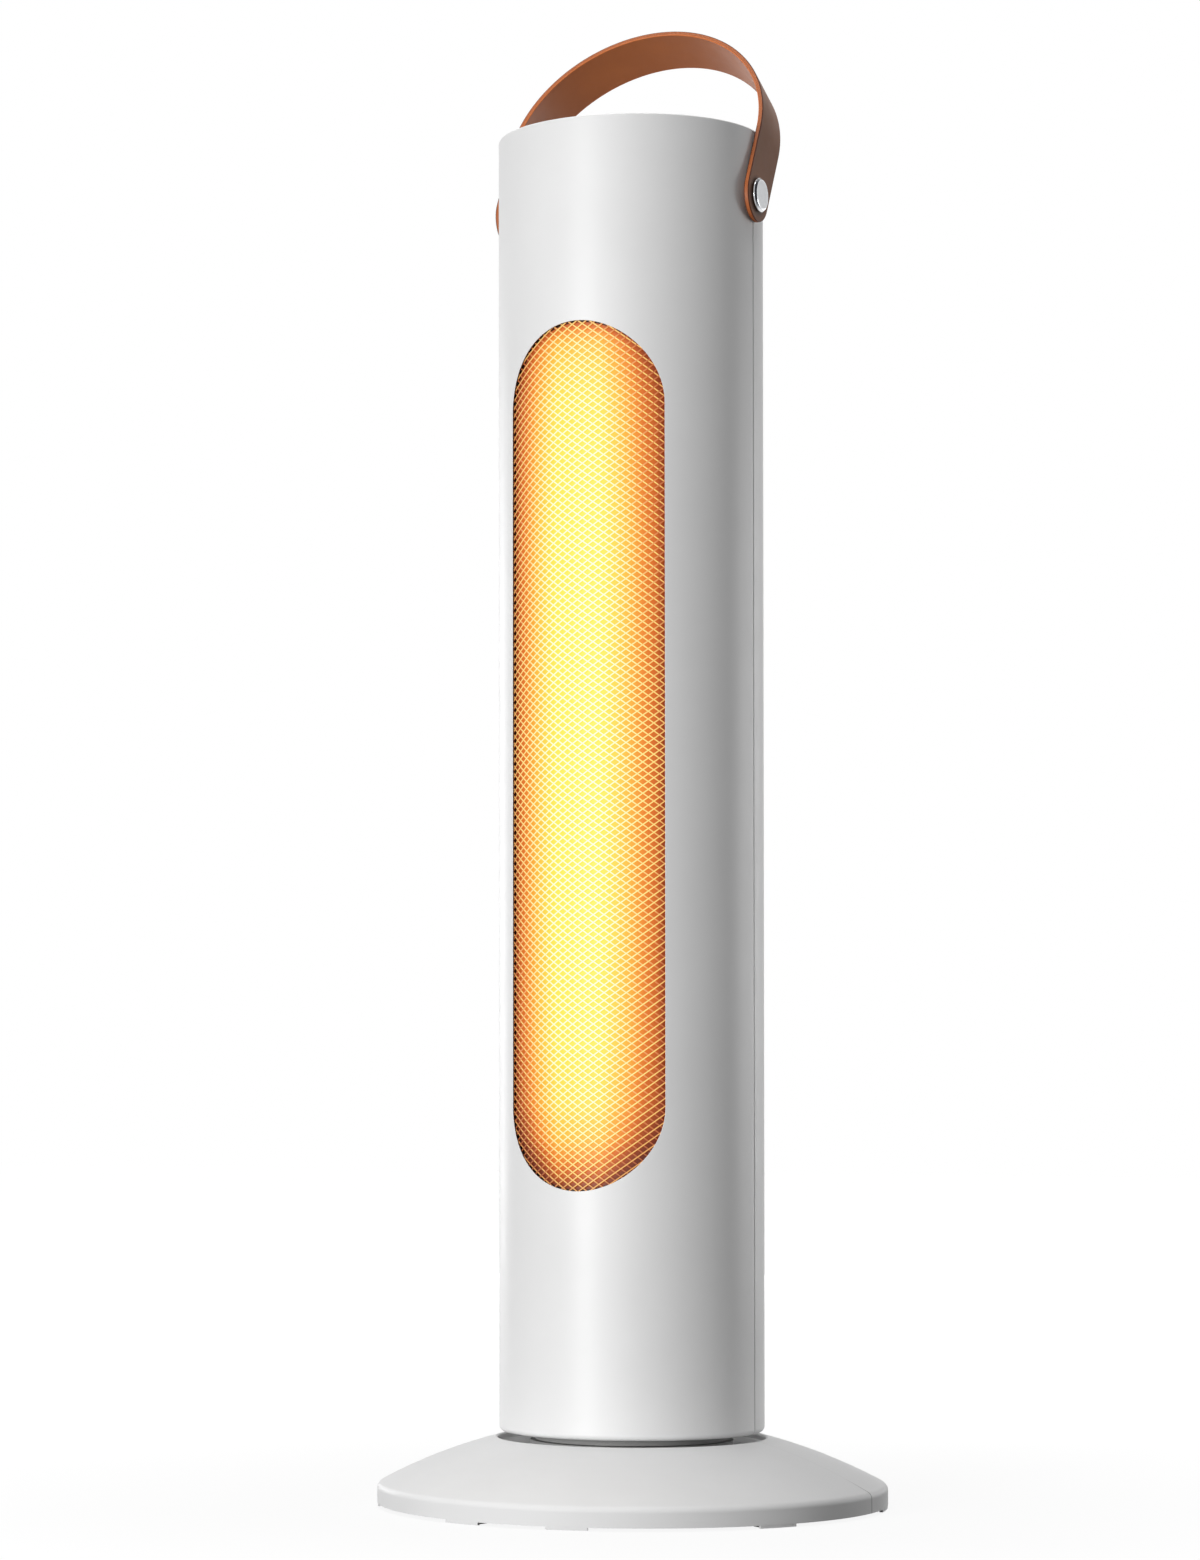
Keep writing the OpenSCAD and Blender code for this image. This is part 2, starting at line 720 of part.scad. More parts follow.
// Sheet curved round the tower's axis, behind the window
module curved_sheet(r, t, angle, z0, z1) {
    rotate_extrude(angle = 2 * angle, start = 270 - angle, $fn = 120)
        translate([r - t, z0]) square([t, z1 - z0]);
}

// Diamond openings in staggered columns, kept where the window shows them
module grille() color([0.85, 0.6, 0.25]) {
    open_w = diamond_w - 2 * strand_w;
    open_h = diamond_h - 2 * strand_w * diamond_h / diamond_w;
    step = diamond_w / 2 / grille_r * 180 / PI;
    columns = floor(window_angle / step);
    rows = floor(window_h / diamond_h) + 2;
    difference() {
        curved_sheet(grille_r, grille_t, grille_angle,
                     window_low_z - grille_margin, window_high_z + grille_margin);
        for (i = [-columns:columns], k = [-ceil(rows / 2):ceil(rows / 2)]) {
            along = (k + (abs(i) % 2) / 2) * diamond_h;
            reach = window_h / 2 - window_w / 2
                + sqrt(max(0, pow(window_w / 2, 2) - pow(grille_r * sin(i * step), 2)));
            if (abs(along) < reach + diamond_h / 4)
                rotate(i * step) translate([0, 0, window_mid_z + along])
                    along_y(-grille_r - cut_over, -grille_r + grille_t + cut_over)
                        polygon([[-open_w / 2, 0], [0, -open_h / 2], [open_w / 2, 0], [0, open_h / 2]]);
        }
    }
}

module grille_frame() color([0.3, 0.3, 0.31]) {
    difference() {
        curved_sheet(frame_r, frame_t, grille_angle,
                     window_low_z - grille_margin, window_high_z + grille_margin);
        translate([0, 0, window_mid_z]) along_y(-tower_r, -boss_l)
            stadium(window_w + frame_step, window_h + frame_step);
    }
}

// Frosted quartz glass that spreads the element's light over the window
module glow_screen() color([1, 0.85, 0.4]) {
    intersection() {
        curved_sheet(screen_r, screen_t, grille_angle,
                     window_low_z - grille_margin, window_high_z + grille_margin);
        translate([0, 0, window_mid_z]) along_y(-tower_r, -boss_l)
            stadium(window_w + screen_step, window_h + screen_step);
    }
}

// Tower: chassis and heating element

module chassis() color([0.7, 0.71, 0.73]) {
    difference() {
        union() {
            for (s = [-1, 1]) {
                translate([s * (leg_x - sheet_t / 2), 0, 0])
                    slab(sheet_t, -leg_front_y, -web_y, floor_top, pivot_z + bracket_h / 2);
                translate([s * (leg_in_x + (sheet_t + foot_tab_l) / 2), 0, 0])
                    slab(sheet_t + foot_tab_l, -foot_tab_y - foot_tab_w / 2, -foot_tab_y + foot_tab_w / 2,
                        floor_top, floor_top + sheet_t);
            }
            slab(2 * leg_x, -web_y - sheet_t, -web_y, web_z, pivot_z + bracket_h / 2);
        }
        for (s = [-1, 1]) translate([s * (leg_x + foot_tab_l / 2), -foot_tab_y, 0])
            cylinder(r = screw_r + screw_clear, h = floor_top + sheet_t + cut_over, $fn = 24);
    }
}

module chassis_screws() color([0.6, 0.6, 0.62]) {
    for (s = [-1, 1]) translate([s * (leg_x + foot_tab_l / 2), -foot_tab_y, floor_top + sheet_t])
        rotate([180, 0, 0]) screw(sheet_t + floor_t);
}

// Depth of the reflector at distance x from its middle. At the chassis' legs it ends behind their edge.
function trough(x) = (leg_front_y - reflector_inset - dish_y) * pow(x / leg_in_x, 2);

module reflector() color([0.9, 0.85, 0.75]) {
    inside = [for (i = [-reflector_steps:reflector_steps])
        let (x = (leg_in_x - reflector_t) * i / reflector_steps)
        [x, -dish_y - trough(x)]];
    outside = [for (i = [reflector_steps:-1:-reflector_steps]) let (x = leg_in_x * i / reflector_steps)
        [x, -dish_y - trough(x * (1 - reflector_t / leg_in_x)) + reflector_t]];
    translate([0, 0, chamber_z])
        linear_extrude(height = chamber_top - chamber_z) polygon(concat(inside, outside));
}

// Plate across the chassis that holds one end of the tube
module tube_bracket(z, side) {
    difference() {
        union() {
            slab(2 * leg_in_x, -bracket_front_y, -web_y - sheet_t, z, z + sheet_t);
            slab(leg_x, -web_y - 2 * sheet_t, -web_y - sheet_t,
                side > 0 ? z : z + sheet_t - bracket_tab_h, side > 0 ? z + bracket_tab_h : z + sheet_t);
        }
        translate([0, -tube_y, z - cut_over]) cylinder(r = holder_r, h = sheet_t + 2 * cut_over, $fn = 48);
    }
}

module lower_tube_bracket() color([0.7, 0.71, 0.73]) tube_bracket(chamber_z - sheet_t, -1);

module upper_tube_bracket() color([0.7, 0.71, 0.73]) tube_bracket(chamber_top, 1);

// Ceramic holder, upright, with its socket for the tube at the top
module tube_holder() {
    difference() {
        cylinder(r = holder_r, h = holder_l, $fn = 48);
        translate([0, 0, holder_l - tube_seat]) cylinder(r = tube_r, h = tube_seat + cut_over, $fn = 48);
        translate([0, 0, -cut_over]) cylinder(r = lead_hole_r, h = holder_l, $fn = 24);
    }
}

module tube_end_caps() color([0.95, 0.94, 0.9]) {
    translate([0, -tube_y, chamber_z + holder_up - holder_l]) tube_holder();
    translate([0, -tube_y, chamber_top - holder_up + holder_l]) mirror([0, 0, 1]) tube_holder();
}

module quartz_tube() color([1, 0.8, 0.4, 0.5]) {
    tube_z = chamber_z + holder_up - tube_seat;
    tube_l = chamber_top - chamber_z - 2 * holder_up + 2 * tube_seat;
    translate([0, -tube_y, tube_z]) difference() {
        cylinder(r = tube_r, h = tube_l, $fn = 48);
        translate([0, 0, -cut_over]) cylinder(r = tube_r - tube_t, h = tube_l + 2 * cut_over, $fn = 48);
    }
}

// Carbon strand with a crimped sleeve at each end
module carbon_filament() color([1, 0.7, 0.2]) {
    low = chamber_z + holder_up - tube_seat;
    high = chamber_top - holder_up + tube_seat;
    translate([0, -tube_y, low]) cylinder(r = filament_r, h = high - low, $fn = 24);
    translate([0, -tube_y, low]) cylinder(r = crimp_r, h = crimp_l, $fn = 32);
    translate([0, -tube_y, high - crimp_l]) cylinder(r = crimp_r, h = crimp_l, $fn = 32);
}

// Tower: electrical parts

module thermal_cutout() color([0.25, 0.25, 0.27]) {
    translate([0, 0, chamber_top - cutout_down]) {
        along_y(-web_y, cutout_h - web_y) circle(r = cutout_r, $fn = 48);
        along_y(-web_y, sheet_t - web_y) square([3 * cutout_r, cutout_r], center = true);
    }
}

module terminal_block() color([0.92, 0.92, 0.88]) {
    difference() {
        slab(terminal_w, -web_y, terminal_d - web_y, web_z, web_z + terminal_h);
        translate([0, 0, web_z - cut_over])
            cylinder(r = lead_r + screw_clear, h = terminal_h / 2 + cut_over, $fn = 32);
    }
}

module tower_lead() color([0.15, 0.15, 0.15]) {
    translate([0, 0, spindle_top]) cylinder(r = lead_r, h = web_z + terminal_h / 2 - spindle_top, $fn = 32);
}

// The four corners of the power board where its spacers stand
module at_board_corners() {
    for (s = [-1, 1], z = [spacer_inset, power_board_h - spacer_inset])
        translate([s * (power_board_w / 2 - spacer_inset), 0, power_board_z + z]) children();
}

module power_board() color([0.1, 0.4, 0.25]) {
    slab(power_board_w, power_board_y, power_board_y + board_t, power_board_z, power_board_z + power_board_h);
}

module board_spacers() color([0.8, 0.8, 0.78]) {
    at_board_corners() along_y(-web_y, power_board_y) circle(r = spacer_r, $fn = 32);
}

// Relay, capacitor and heat sink
module board_components() color([0.15, 0.3, 0.6]) {
    back = power_board_y + board_t;
    translate([relay_x, 0, 0]) slab(relay_w, back, back + relay_d, relay_z, relay_z + relay_h);
    translate([-relay_x, 0, relay_z + capacitor_d / 2]) along_y(back, back + relay_d)
        circle(d = capacitor_d, $fn = 48);
    translate([0, 0, sink_z]) difference() {
        slab(sink_w, back, back + relay_d, 0, sink_h);
        for (i = [-1:1]) translate([i * sink_pitch, 0, 0])
            slab(sink_slot_w, back + sink_back_t, back + relay_d + cut_over, -cut_over, sink_h + cut_over);
    }
}

module tilt_switch() color([0.2, 0.2, 0.22]) {
    back = power_board_y + board_t;
    slab(tilt_w, back, back + tilt_d, power_board_z + fit_gap, relay_z - fit_gap);
}

module wire_loom() color([0.15, 0.15, 0.15]) {
    translate([loom_x, loom_r - web_y, power_board_z + power_board_h + fit_gap])
        cylinder(r = loom_r, h = control_board_z - power_board_z - power_board_h - fit_gap, $fn = 24);
}

// Tower: top cap and controls

module top_cap() color([0.94, 0.94, 0.93]) {
    difference() {
        union() {
            translate([0, 0, cap_z]) cylinder(r = inner_r - fit_gap, h = cap_t, $fn = 120);
            for (a = post_angles) rotate(a) translate([post_ring, 0, cap_z - board_drop])
                cylinder(r = post_r, h = board_drop + cap_t / 2, $fn = 32);
            for (a = hook_angles) rotate(a) translate([0, inner_r - ledge_w - fit_gap - hook_t, 0]) {
                slab(hook_w, 0, hook_t, cap_z - ledge_t - 2 * hook_barb, cap_z + cap_t / 2);
                slab(hook_w, 0, hook_t + hook_barb,
                     cap_z - ledge_t - 2 * hook_barb, cap_z - ledge_t - fit_gap);
            }
        }
        translate([0, 0, dish_z]) cylinder(r = inner_r - dish_in, h = cap_t, $fn = 120);
        for (i = [-1:1]) translate([i * button_pitch, -button_y, cap_z - cut_over])
            cylinder(r = button_r + run_gap, h = cap_t + 2 * cut_over, $fn = 48);
        translate([0, lens_y, cap_z - cut_over]) cylinder(r = lens_r, h = cap_t + 2 * cut_over, $fn = 32);
        for (a = post_angles) rotate(a) translate([post_ring, 0, cap_z - board_drop - cut_over])
            cylinder(r = screw_r, h = board_drop + cut_over, $fn = 24);
    }
}

module indicator_lens() color([0.9, 0.3, 0.15]) {
    translate([0, lens_y, cap_z]) cylinder(r = lens_r, h = dish_z - cap_z, $fn = 32);
}

module control_board() color([0.1, 0.4, 0.25]) {
    translate([0, 0, control_board_z]) difference() {
        cylinder(r = control_board_r, h = board_t, $fn = 96);
        for (a = post_angles) rotate(a) translate([post_ring, 0, -cut_over])
            cylinder(r = screw_r + screw_clear, h = board_t + 2 * cut_over, $fn = 24);
    }
}

module board_screws() color([0.6, 0.6, 0.62]) {
    for (a = post_angles) rotate(a) translate([post_ring, 0, control_board_z]) screw(board_drop);
}

module tact_switches() color([0.12, 0.12, 0.12]) {
    for (i = [-1:1]) translate([i * button_pitch, -button_y, control_board_z + board_t]) {
        translate([-switch_size / 2, -switch_size / 2, 0])
            cube([switch_size, switch_size, switch_h - button_travel]);
        cylinder(r = button_stem_r, h = switch_h, $fn = 24);
    }
}

// Round button, held under the cap by its flange
module button(i) {
    foot = control_board_z + board_t + switch_h + button_travel + shaft_gap;
    head = dish_z + button_proud;
    translate([i * button_pitch, -button_y, 0]) {
        rotate_extrude($fn = 48) polygon(concat(
            [[0, foot], [button_stem_r, foot], [button_stem_r, cap_z - button_flange_t - run_gap],
                [button_r + button_flange_w, cap_z - button_flange_t - run_gap],
                [button_r + button_flange_w, cap_z - run_gap], [button_r, cap_z - run_gap]],
            arc(button_r - button_edge_r, head - button_edge_r, button_edge_r, 0, 90, 3), [[0, head]]));
    }
}

module heat_button() color([0.9, 0.9, 0.89]) button(-1);

module power_button() color([0.9, 0.9, 0.89]) button(0);

module swing_button() color([0.9, 0.9, 0.89]) button(1);

// Handle

// Steel blocks that tie the rivets to the chassis
module handle_brackets() color([0.7, 0.71, 0.73]) {
    for (s = [-1, 1]) difference() {
        intersection() {
            translate([s * (leg_x + tower_r) / 2, 0, 0])
                slab(tower_r - leg_x, -bracket_w / 2, bracket_w / 2,
                     pivot_z - bracket_h / 2, pivot_z + bracket_h / 2);
            tower_core(inner_r - fit_gap, tower_z, top_z);
        }
        pivot_line(rivet_shank_d / 2);
    }
}

// Cylinder along the handle's pivot axis, through the whole tower
module pivot_line(r) {
    translate([-rivet_x - cut_over, 0, pivot_z]) rotate([0, 90, 0])
        cylinder(r = r, h = 2 * (rivet_x + cut_over), $fn = 48);
}

module handle_rivets() color([0.75, 0.75, 0.76]) {
    for (s = [-1, 1]) translate([s * rivet_x, 0, pivot_z]) rotate([0, s * 90, 0]) rotate_extrude($fn = 64)
        polygon([[0, -rivet_l], [rivet_shank_d / 2, -rivet_l], [rivet_shank_d / 2, 0], [rivet_r, 0],
            [rivet_r, rivet_t - rivet_bevel], [rivet_r - rivet_bevel, rivet_t], [0, rivet_t]]);
}

// Leather strap: a round lobe on each rivet, two straight legs and a half circle over the top
module handle_strap() color([0.5, 0.3, 0.2]) {
    translate([0, 0, pivot_z]) rotate([-strap_lean, 0, 0]) difference() {
        union() {
            for (s = [-1, 1]) translate([s * (strap_in_r + strap_t / 2), 0, 0]) {
                slab(strap_t, -strap_w / 2, strap_w / 2, 0, strap_leg);
                rotate([0, 90, 0]) cylinder(d = strap_w, h = strap_t, center = true, $fn = 64);
            }
            translate([0, 0, strap_leg]) along_y(-strap_w / 2, strap_w / 2) intersection() {
                difference() {
                    circle(r = strap_out_r, $fn = 120);
                    circle(r = strap_in_r, $fn = 120);
                }
                translate([-strap_out_r, 0]) square([2 * strap_out_r, strap_out_r]);
            }
        }
        translate([-strap_out_r - cut_over, 0, 0]) rotate([0, 90, 0])
            cylinder(r = strap_hole_r, h = 2 * (strap_out_r + cut_over), $fn = 48);
    }
}

// Moving parts of the drive

module drive_pinion() color([0.9, 0.88, 0.8]) {
    translate([0, pinion_y, gear_z - pinion_over]) difference() {
        linear_extrude(height = pinion_w) rotate(-90) gear_outline(pinion_teeth);
        translate([0, 0, -cut_over]) cylinder(r = motor_shaft_r, h = pinion_w + 2 * cut_over, $fn = 48);
    }
}

module motor_shaft() color([0.8, 0.8, 0.82]) {
    translate([0, pinion_y, gear_z - pinion_over])
        cylinder(r = motor_shaft_r, h = motor_z - gear_z + pinion_over + motor_socket - run_gap, $fn = 48);
}

base_cover();
base_plate();
ballast_weight();
rubber_feet();
base_screws();
swivel_spindle();
spindle_screws();
fixed_gear();
spindle_nut();
thrust_ring();
cord_gland();
base_lead();
tower_floor();
swivel_bush();
swing_motor();
motor_screws();
front_shell();
rear_shell();
shell_screws();
grille();
grille_frame();
glow_screen();
chassis();
chassis_screws();
reflector();
lower_tube_bracket();
upper_tube_bracket();
tube_end_caps();
quartz_tube();
carbon_filament();
thermal_cutout();
terminal_block();
tower_lead();
power_board();
board_spacers();
board_components();
tilt_switch();
wire_loom();
top_cap();
indicator_lens();
control_board();
board_screws();
tact_switches();
handle_brackets();
handle_rivets();
drive_pinion();
motor_shaft();
power_button();
heat_button();
swing_button();
handle_strap();
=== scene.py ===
import json
import math

import bpy
import numpy as np
from mathutils import Matrix, Vector
from mathutils.geometry import delaunay_2d_cdt


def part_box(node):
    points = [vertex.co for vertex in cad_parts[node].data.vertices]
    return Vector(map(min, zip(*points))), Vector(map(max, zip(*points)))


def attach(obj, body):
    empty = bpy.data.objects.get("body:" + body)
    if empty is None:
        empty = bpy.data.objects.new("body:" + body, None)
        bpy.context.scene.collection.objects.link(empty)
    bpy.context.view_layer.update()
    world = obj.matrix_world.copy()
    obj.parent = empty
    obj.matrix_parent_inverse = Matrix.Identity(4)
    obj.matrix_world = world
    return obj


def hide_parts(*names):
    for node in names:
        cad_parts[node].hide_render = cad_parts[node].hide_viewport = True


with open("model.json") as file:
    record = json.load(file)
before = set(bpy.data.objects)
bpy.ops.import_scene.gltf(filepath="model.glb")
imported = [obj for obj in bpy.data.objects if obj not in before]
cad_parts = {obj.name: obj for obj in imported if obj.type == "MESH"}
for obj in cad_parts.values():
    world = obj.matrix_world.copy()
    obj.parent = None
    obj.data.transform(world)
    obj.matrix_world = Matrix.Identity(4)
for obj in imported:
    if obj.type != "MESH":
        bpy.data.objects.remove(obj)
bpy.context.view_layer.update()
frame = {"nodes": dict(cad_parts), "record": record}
scene = bpy.context.scene
nodes = frame["nodes"]

# Sizes, in metres. Places come from the frame where it gives them.
MM = 0.001
shell_low, shell_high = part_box("front_shell")
TOWER_R = shell_high[0]
TOWER_Z, TOP_Z = shell_low[2], shell_high[2]
WALL = 2.5 * MM
INNER_R = TOWER_R - WALL
WINDOW_W = 71 * MM
WINDOW_WALL = 1.0 * MM
WINDOW_MARGIN = 6 * MM
mesh_low, mesh_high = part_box("grille")
WINDOW_LOW = mesh_low[2] + WINDOW_MARGIN
WINDOW_HIGH = mesh_high[2] - WINDOW_MARGIN
WINDOW_MID = (WINDOW_LOW + WINDOW_HIGH) / 2
WINDOW_H = WINDOW_HIGH - WINDOW_LOW
joints = {j["name"]: j for j in frame["record"]["behaviour"]["joints"]}
PIVOT_Z = joints["handle_fold"]["pos_m"][2]
STRAP_W, STRAP_T, STRAP_LEG = 22.8 * MM, 2.2 * MM, 28.6 * MM
STRAP_LEAN = math.radians(27.2)
STRAP_GAP = 0.3 * MM
RIVET_R = 7.3 * MM
RIVET_GAP = 0.2 * MM


# Shader helpers

def linear(rgb):
    """Linear colour from the 0 to 255 values that it shows as."""
    shown = [v / 255 for v in rgb]
    return tuple(c / 12.92 if c <= 0.04045 else ((c + 0.055) / 1.055) ** 2.4 for c in shown) + (1.0,)


def new_material(name):
    m = bpy.data.materials.new(name)
    m.use_nodes = True
    t = m.node_tree
    t.nodes.clear()
    out = t.nodes.new("ShaderNodeOutputMaterial")
    shader = t.nodes.new("ShaderNodeBsdfPrincipled")
    t.links.new(shader.outputs[0], out.inputs["Surface"])
    return m, t, shader


def math_node(t, op, *values, clamp=False):
    n = t.nodes.new("ShaderNodeMath")
    n.operation = op
    n.use_clamp = clamp
    for i, v in enumerate(values):
        if isinstance(v, (int, float)):
            n.inputs[i].default_value = v
        else:
            t.links.new(v, n.inputs[i])
    return n.outputs[0]


def distance(t, a, b):
    """Length of a step that goes a one way and b across it."""
    squares = [math_node(t, "MULTIPLY", v, v) for v in (a, b)]
    return math_node(t, "SQRT", math_node(t, "ADD", *squares))


def remap(t, value, to_low, to_high, from_low=0.0, from_high=1.0):
    """The value moved from one range to another and held within it."""
    n = t.nodes.new("ShaderNodeMapRange")
    n.inputs["From Min"].default_value = from_low
    n.inputs["From Max"].default_value = from_high
    n.inputs["To Min"].default_value = to_low
    n.inputs["To Max"].default_value = to_high
    t.links.new(value, n.inputs["Value"])
    return n.outputs[0]


def mix_colours(t, factor, first, second):
    """The first colour, and the second where the factor is 1. The second may be 0 to 255 values."""
    n = t.nodes.new("ShaderNodeMix")
    n.data_type = "RGBA"
    t.links.new(factor, n.inputs["Factor"])
    t.links.new(first, n.inputs["A"])
    if isinstance(second, tuple):
        n.inputs["B"].default_value = linear(second)
    else:
        t.links.new(second, n.inputs["B"])
    return n.outputs["Result"]


def seen(t):
    """1 for what the camera sees, straight or in gloss or through glass, and 0 for other light."""
    path = t.nodes.new("ShaderNodeLightPath")
    rays = [path.outputs[name] for name in ("Is Camera Ray", "Is Glossy Ray", "Is Transmission Ray")]
    return math_node(t, "MAXIMUM", math_node(t, "MAXIMUM", rays[0], rays[1]), rays[2])


def ramp(t, factor, stops, interpolation="LINEAR"):
    """Colour ramp; stops are (place, colour) with colours 0 to 255, or (place, value)."""
    n = t.nodes.new("ShaderNodeValToRGB")
    n.color_ramp.interpolation = interpolation
    e = n.color_ramp.elements
    while len(e) < len(stops):
        e.new(0.5)
    for el, (place, value) in zip(e, stops):
        el.position = place
        el.color = (value, value, value, 1) if isinstance(value, (int, float)) else linear(value)
    t.links.new(factor, n.inputs[0])
    return n.outputs[0]


def object_place(t, scale=(1, 1, 1)):
    """Place on the object in metres, stretched by scale."""
    co = t.nodes.new("ShaderNodeTexCoord")
    mp = t.nodes.new("ShaderNodeMapping")
    mp.inputs["Scale"].default_value = scale
    t.links.new(co.outputs["Object"], mp.inputs[0])
    return mp.outputs[0]


def split_xyz(t, vector):
    n = t.nodes.new("ShaderNodeSeparateXYZ")
    t.links.new(vector, n.inputs[0])
    return n.outputs


def noise(t, place, scale, detail=3.0, rough=0.55):
    n = t.nodes.new("ShaderNodeTexNoise")
    n.inputs["Scale"].default_value = scale
    n.inputs["Detail"].default_value = detail
    n.inputs["Roughness"].default_value = rough
    t.links.new(place, n.inputs["Vector"])
    return n.outputs[0]


def bump(t, height, strength, distance):
    n = t.nodes.new("ShaderNodeBump")
    n.inputs["Strength"].default_value = strength
    n.inputs["Distance"].default_value = distance
    t.links.new(height, n.inputs["Height"])
    return n.outputs[0]


def finish_of(name, colour, rough, metallic=0.0, vary=0.05, patch=60, grain=1500, depth=0.02 * MM,
              spread=0.06, stretch=(1, 1, 1), coat=0.0, coat_rough=0.1, specular=0.5):
    """A plastic, metal or rubber finish: colour and gloss vary in patches, a fine grain gives the bump."""
    m, t, s = new_material(name)
    place = object_place(t, stretch)
    low = tuple(c * (1 - vary) for c in colour)
    t.links.new(ramp(t, noise(t, place, patch), [(0.3, low), (0.7, colour)]), s.inputs["Base Color"])
    gloss = remap(t, noise(t, place, patch * 3), max(0.02, rough - spread), rough + spread)
    t.links.new(gloss, s.inputs["Roughness"])
    s.inputs["Metallic"].default_value = metallic
    s.inputs["Specular IOR Level"].default_value = specular
    s.inputs["Coat Weight"].default_value = coat
    s.inputs["Coat Roughness"].default_value = coat_rough
    t.links.new(bump(t, noise(t, place, grain, 2.0), 0.35, depth), s.inputs["Normal"])
    return m


# Materials

MOULDED = dict(vary=0.012, patch=25, grain=2500, depth=0.008 * MM, spread=0.03)
white = finish_of("shell_white", (232, 232, 232), 0.40, **MOULDED)
base_white = finish_of("base_white", (234, 234, 234), 0.42, specular=0.1, **MOULDED)

PARTING_W = 0.7 * MM
PARTING_DARK = (70, 70, 70)
PARTING_FAINT_X, PARTING_FULL_X = 98 * MM, 109 * MM


def add_parting_line(m):
    """Fine line where the moulding's halves meet, along the X axis; it gets fainter up the dome."""
    t = m.node_tree
    s = t.nodes["Principled BSDF"]
    x, y, _ = split_xyz(t, object_place(t))
    off = math_node(t, "DIVIDE", math_node(t, "ABSOLUTE", y), PARTING_W)
    near = math_node(t, "SUBTRACT", 1.0, off, clamp=True)
    reach = remap(t, math_node(t, "ABSOLUTE", x), 0.06, 0.65, PARTING_FAINT_X, PARTING_FULL_X)
    old = s.inputs["Base Color"].links[0].from_socket
    t.links.new(mix_colours(t, math_node(t, "MULTIPLY", near, reach), old, PARTING_DARK),
                s.inputs["Base Color"])


add_parting_line(base_white)
pad_rubber = finish_of("pad_rubber", (70, 70, 71), 0.7, vary=0.1, patch=120, grain=3000, depth=0.04 * MM)
button_white = finish_of("button_white", (226, 226, 225), 0.25, vary=0.015, grain=3000, depth=0.005 * MM)
black_plastic = finish_of("black_plastic", (28, 28, 30), 0.5, vary=0.2, grain=2500, depth=0.05 * MM)
gland = finish_of("gland_plastic", (24, 24, 25), 0.5, vary=0.2)
floor_white = finish_of("floor_plastic", (180, 180, 179), 0.5, vary=0.03, specular=0.05)
# painted shade in the seam between the shells: its faces and the deepest part of its rounded edges
seam_shade = finish_of("seam_shade", (62, 62, 62), 0.6, vary=0.05)
# painted shade: a dark colour on the faces of the window's cut and its rebate, which lie in shade
window_cut_shade = finish_of("window_edge", (18, 24, 34), 0.45, vary=0.2, grain=3000)
frame_black = finish_of("frame_black", (22, 23, 26), 0.45, vary=0.2)
iron = finish_of("ballast_iron", (58, 58, 61), 0.65, metallic=0.6, vary=0.25, patch=300, grain=900,
                 depth=0.2 * MM)
steel = finish_of("screw_steel", (176, 177, 180), 0.3, metallic=1.0, vary=0.12, patch=250)
turned = finish_of("spindle_steel", (170, 171, 174), 0.28, metallic=1.0, vary=0.1, stretch=(1, 1, 60),
                   patch=30)
sheet = finish_of("chassis_steel", (168, 170, 173), 0.38, metallic=1.0, vary=0.12, patch=90,
                  stretch=(1, 1, 0.1))
nylon = finish_of("gear_plastic", (224, 218, 198), 0.5, vary=0.05)
terminal = finish_of("terminal_white", (222, 221, 212), 0.5, vary=0.05)
brass = finish_of("bush_brass", (190, 150, 84), 0.3, metallic=1.0, vary=0.15, patch=200)
cord = finish_of("cord_black", (22, 22, 22), 0.6, vary=0.25, patch=200, grain=2500, depth=0.05 * MM)
motor = finish_of("motor_steel", (182, 183, 186), 0.3, metallic=1.0, vary=0.1, patch=120)
ceramic = finish_of("holder_ceramic", (228, 224, 212), 0.55, vary=0.05, patch=300)
board = finish_of("board_green", (34, 92, 58), 0.35, vary=0.2, patch=700, grain=900, coat=0.4)
component = finish_of("component_blue", (34, 58, 104), 0.4, vary=0.2, patch=300)
lens = finish_of("lens_red", (150, 28, 18), 0.12, vary=0.15, patch=400, coat=0.6, coat_rough=0.05)


# Leather of the strap. Round each rivet a painted shadow darkens it, centred a little behind and under the
# pivot.

RIVET_SHADOW_BACK, RIVET_SHADOW_DOWN = 0.8 * MM, 0.6 * MM
RIVET_SHADOW_R, RIVET_SHADOW_DARK, RIVET_SHADOW_SHARE = 9.4 * MM, (34, 20, 14), 0.75


def leather(name, colour, deep, rough, pores, specular, rivet_shadow=False):
    """Grained leather. Where asked, a painted shadow of the rivet heads darkens it close to the rivets."""
    m, t, s = new_material(name)
    place = object_place(t)
    shade = ramp(t, noise(t, place, 45, 4.0), [(0.25, deep), (0.75, colour)])
    if rivet_shadow:
        _, y, z = split_xyz(t, place)
        back = math_node(t, "ADD", y, RIVET_SHADOW_BACK)
        up = math_node(t, "SUBTRACT", z, PIVOT_Z - RIVET_SHADOW_DOWN)
        near = remap(t, distance(t, back, up), RIVET_SHADOW_SHARE, 0.0, RIVET_R, RIVET_SHADOW_R)
        shade = mix_colours(t, near, shade, RIVET_SHADOW_DARK)
    t.links.new(shade, s.inputs["Base Color"])
    cells = t.nodes.new("ShaderNodeTexVoronoi")
    cells.feature = "SMOOTH_F1"
    cells.inputs["Scale"].default_value = 1400
    t.links.new(place, cells.inputs["Vector"])
    fine = noise(t, place, 3500, 3.0)
    height = math_node(t, "ADD", cells.outputs["Distance"], math_node(t, "MULTIPLY", fine, 0.5))
    t.links.new(bump(t, height, 0.5, pores), s.inputs["Normal"])
    t.links.new(remap(t, noise(t, place, 200), rough - 0.05, rough + 0.08), s.inputs["Roughness"])
    s.inputs["Specular IOR Level"].default_value = specular
    return m


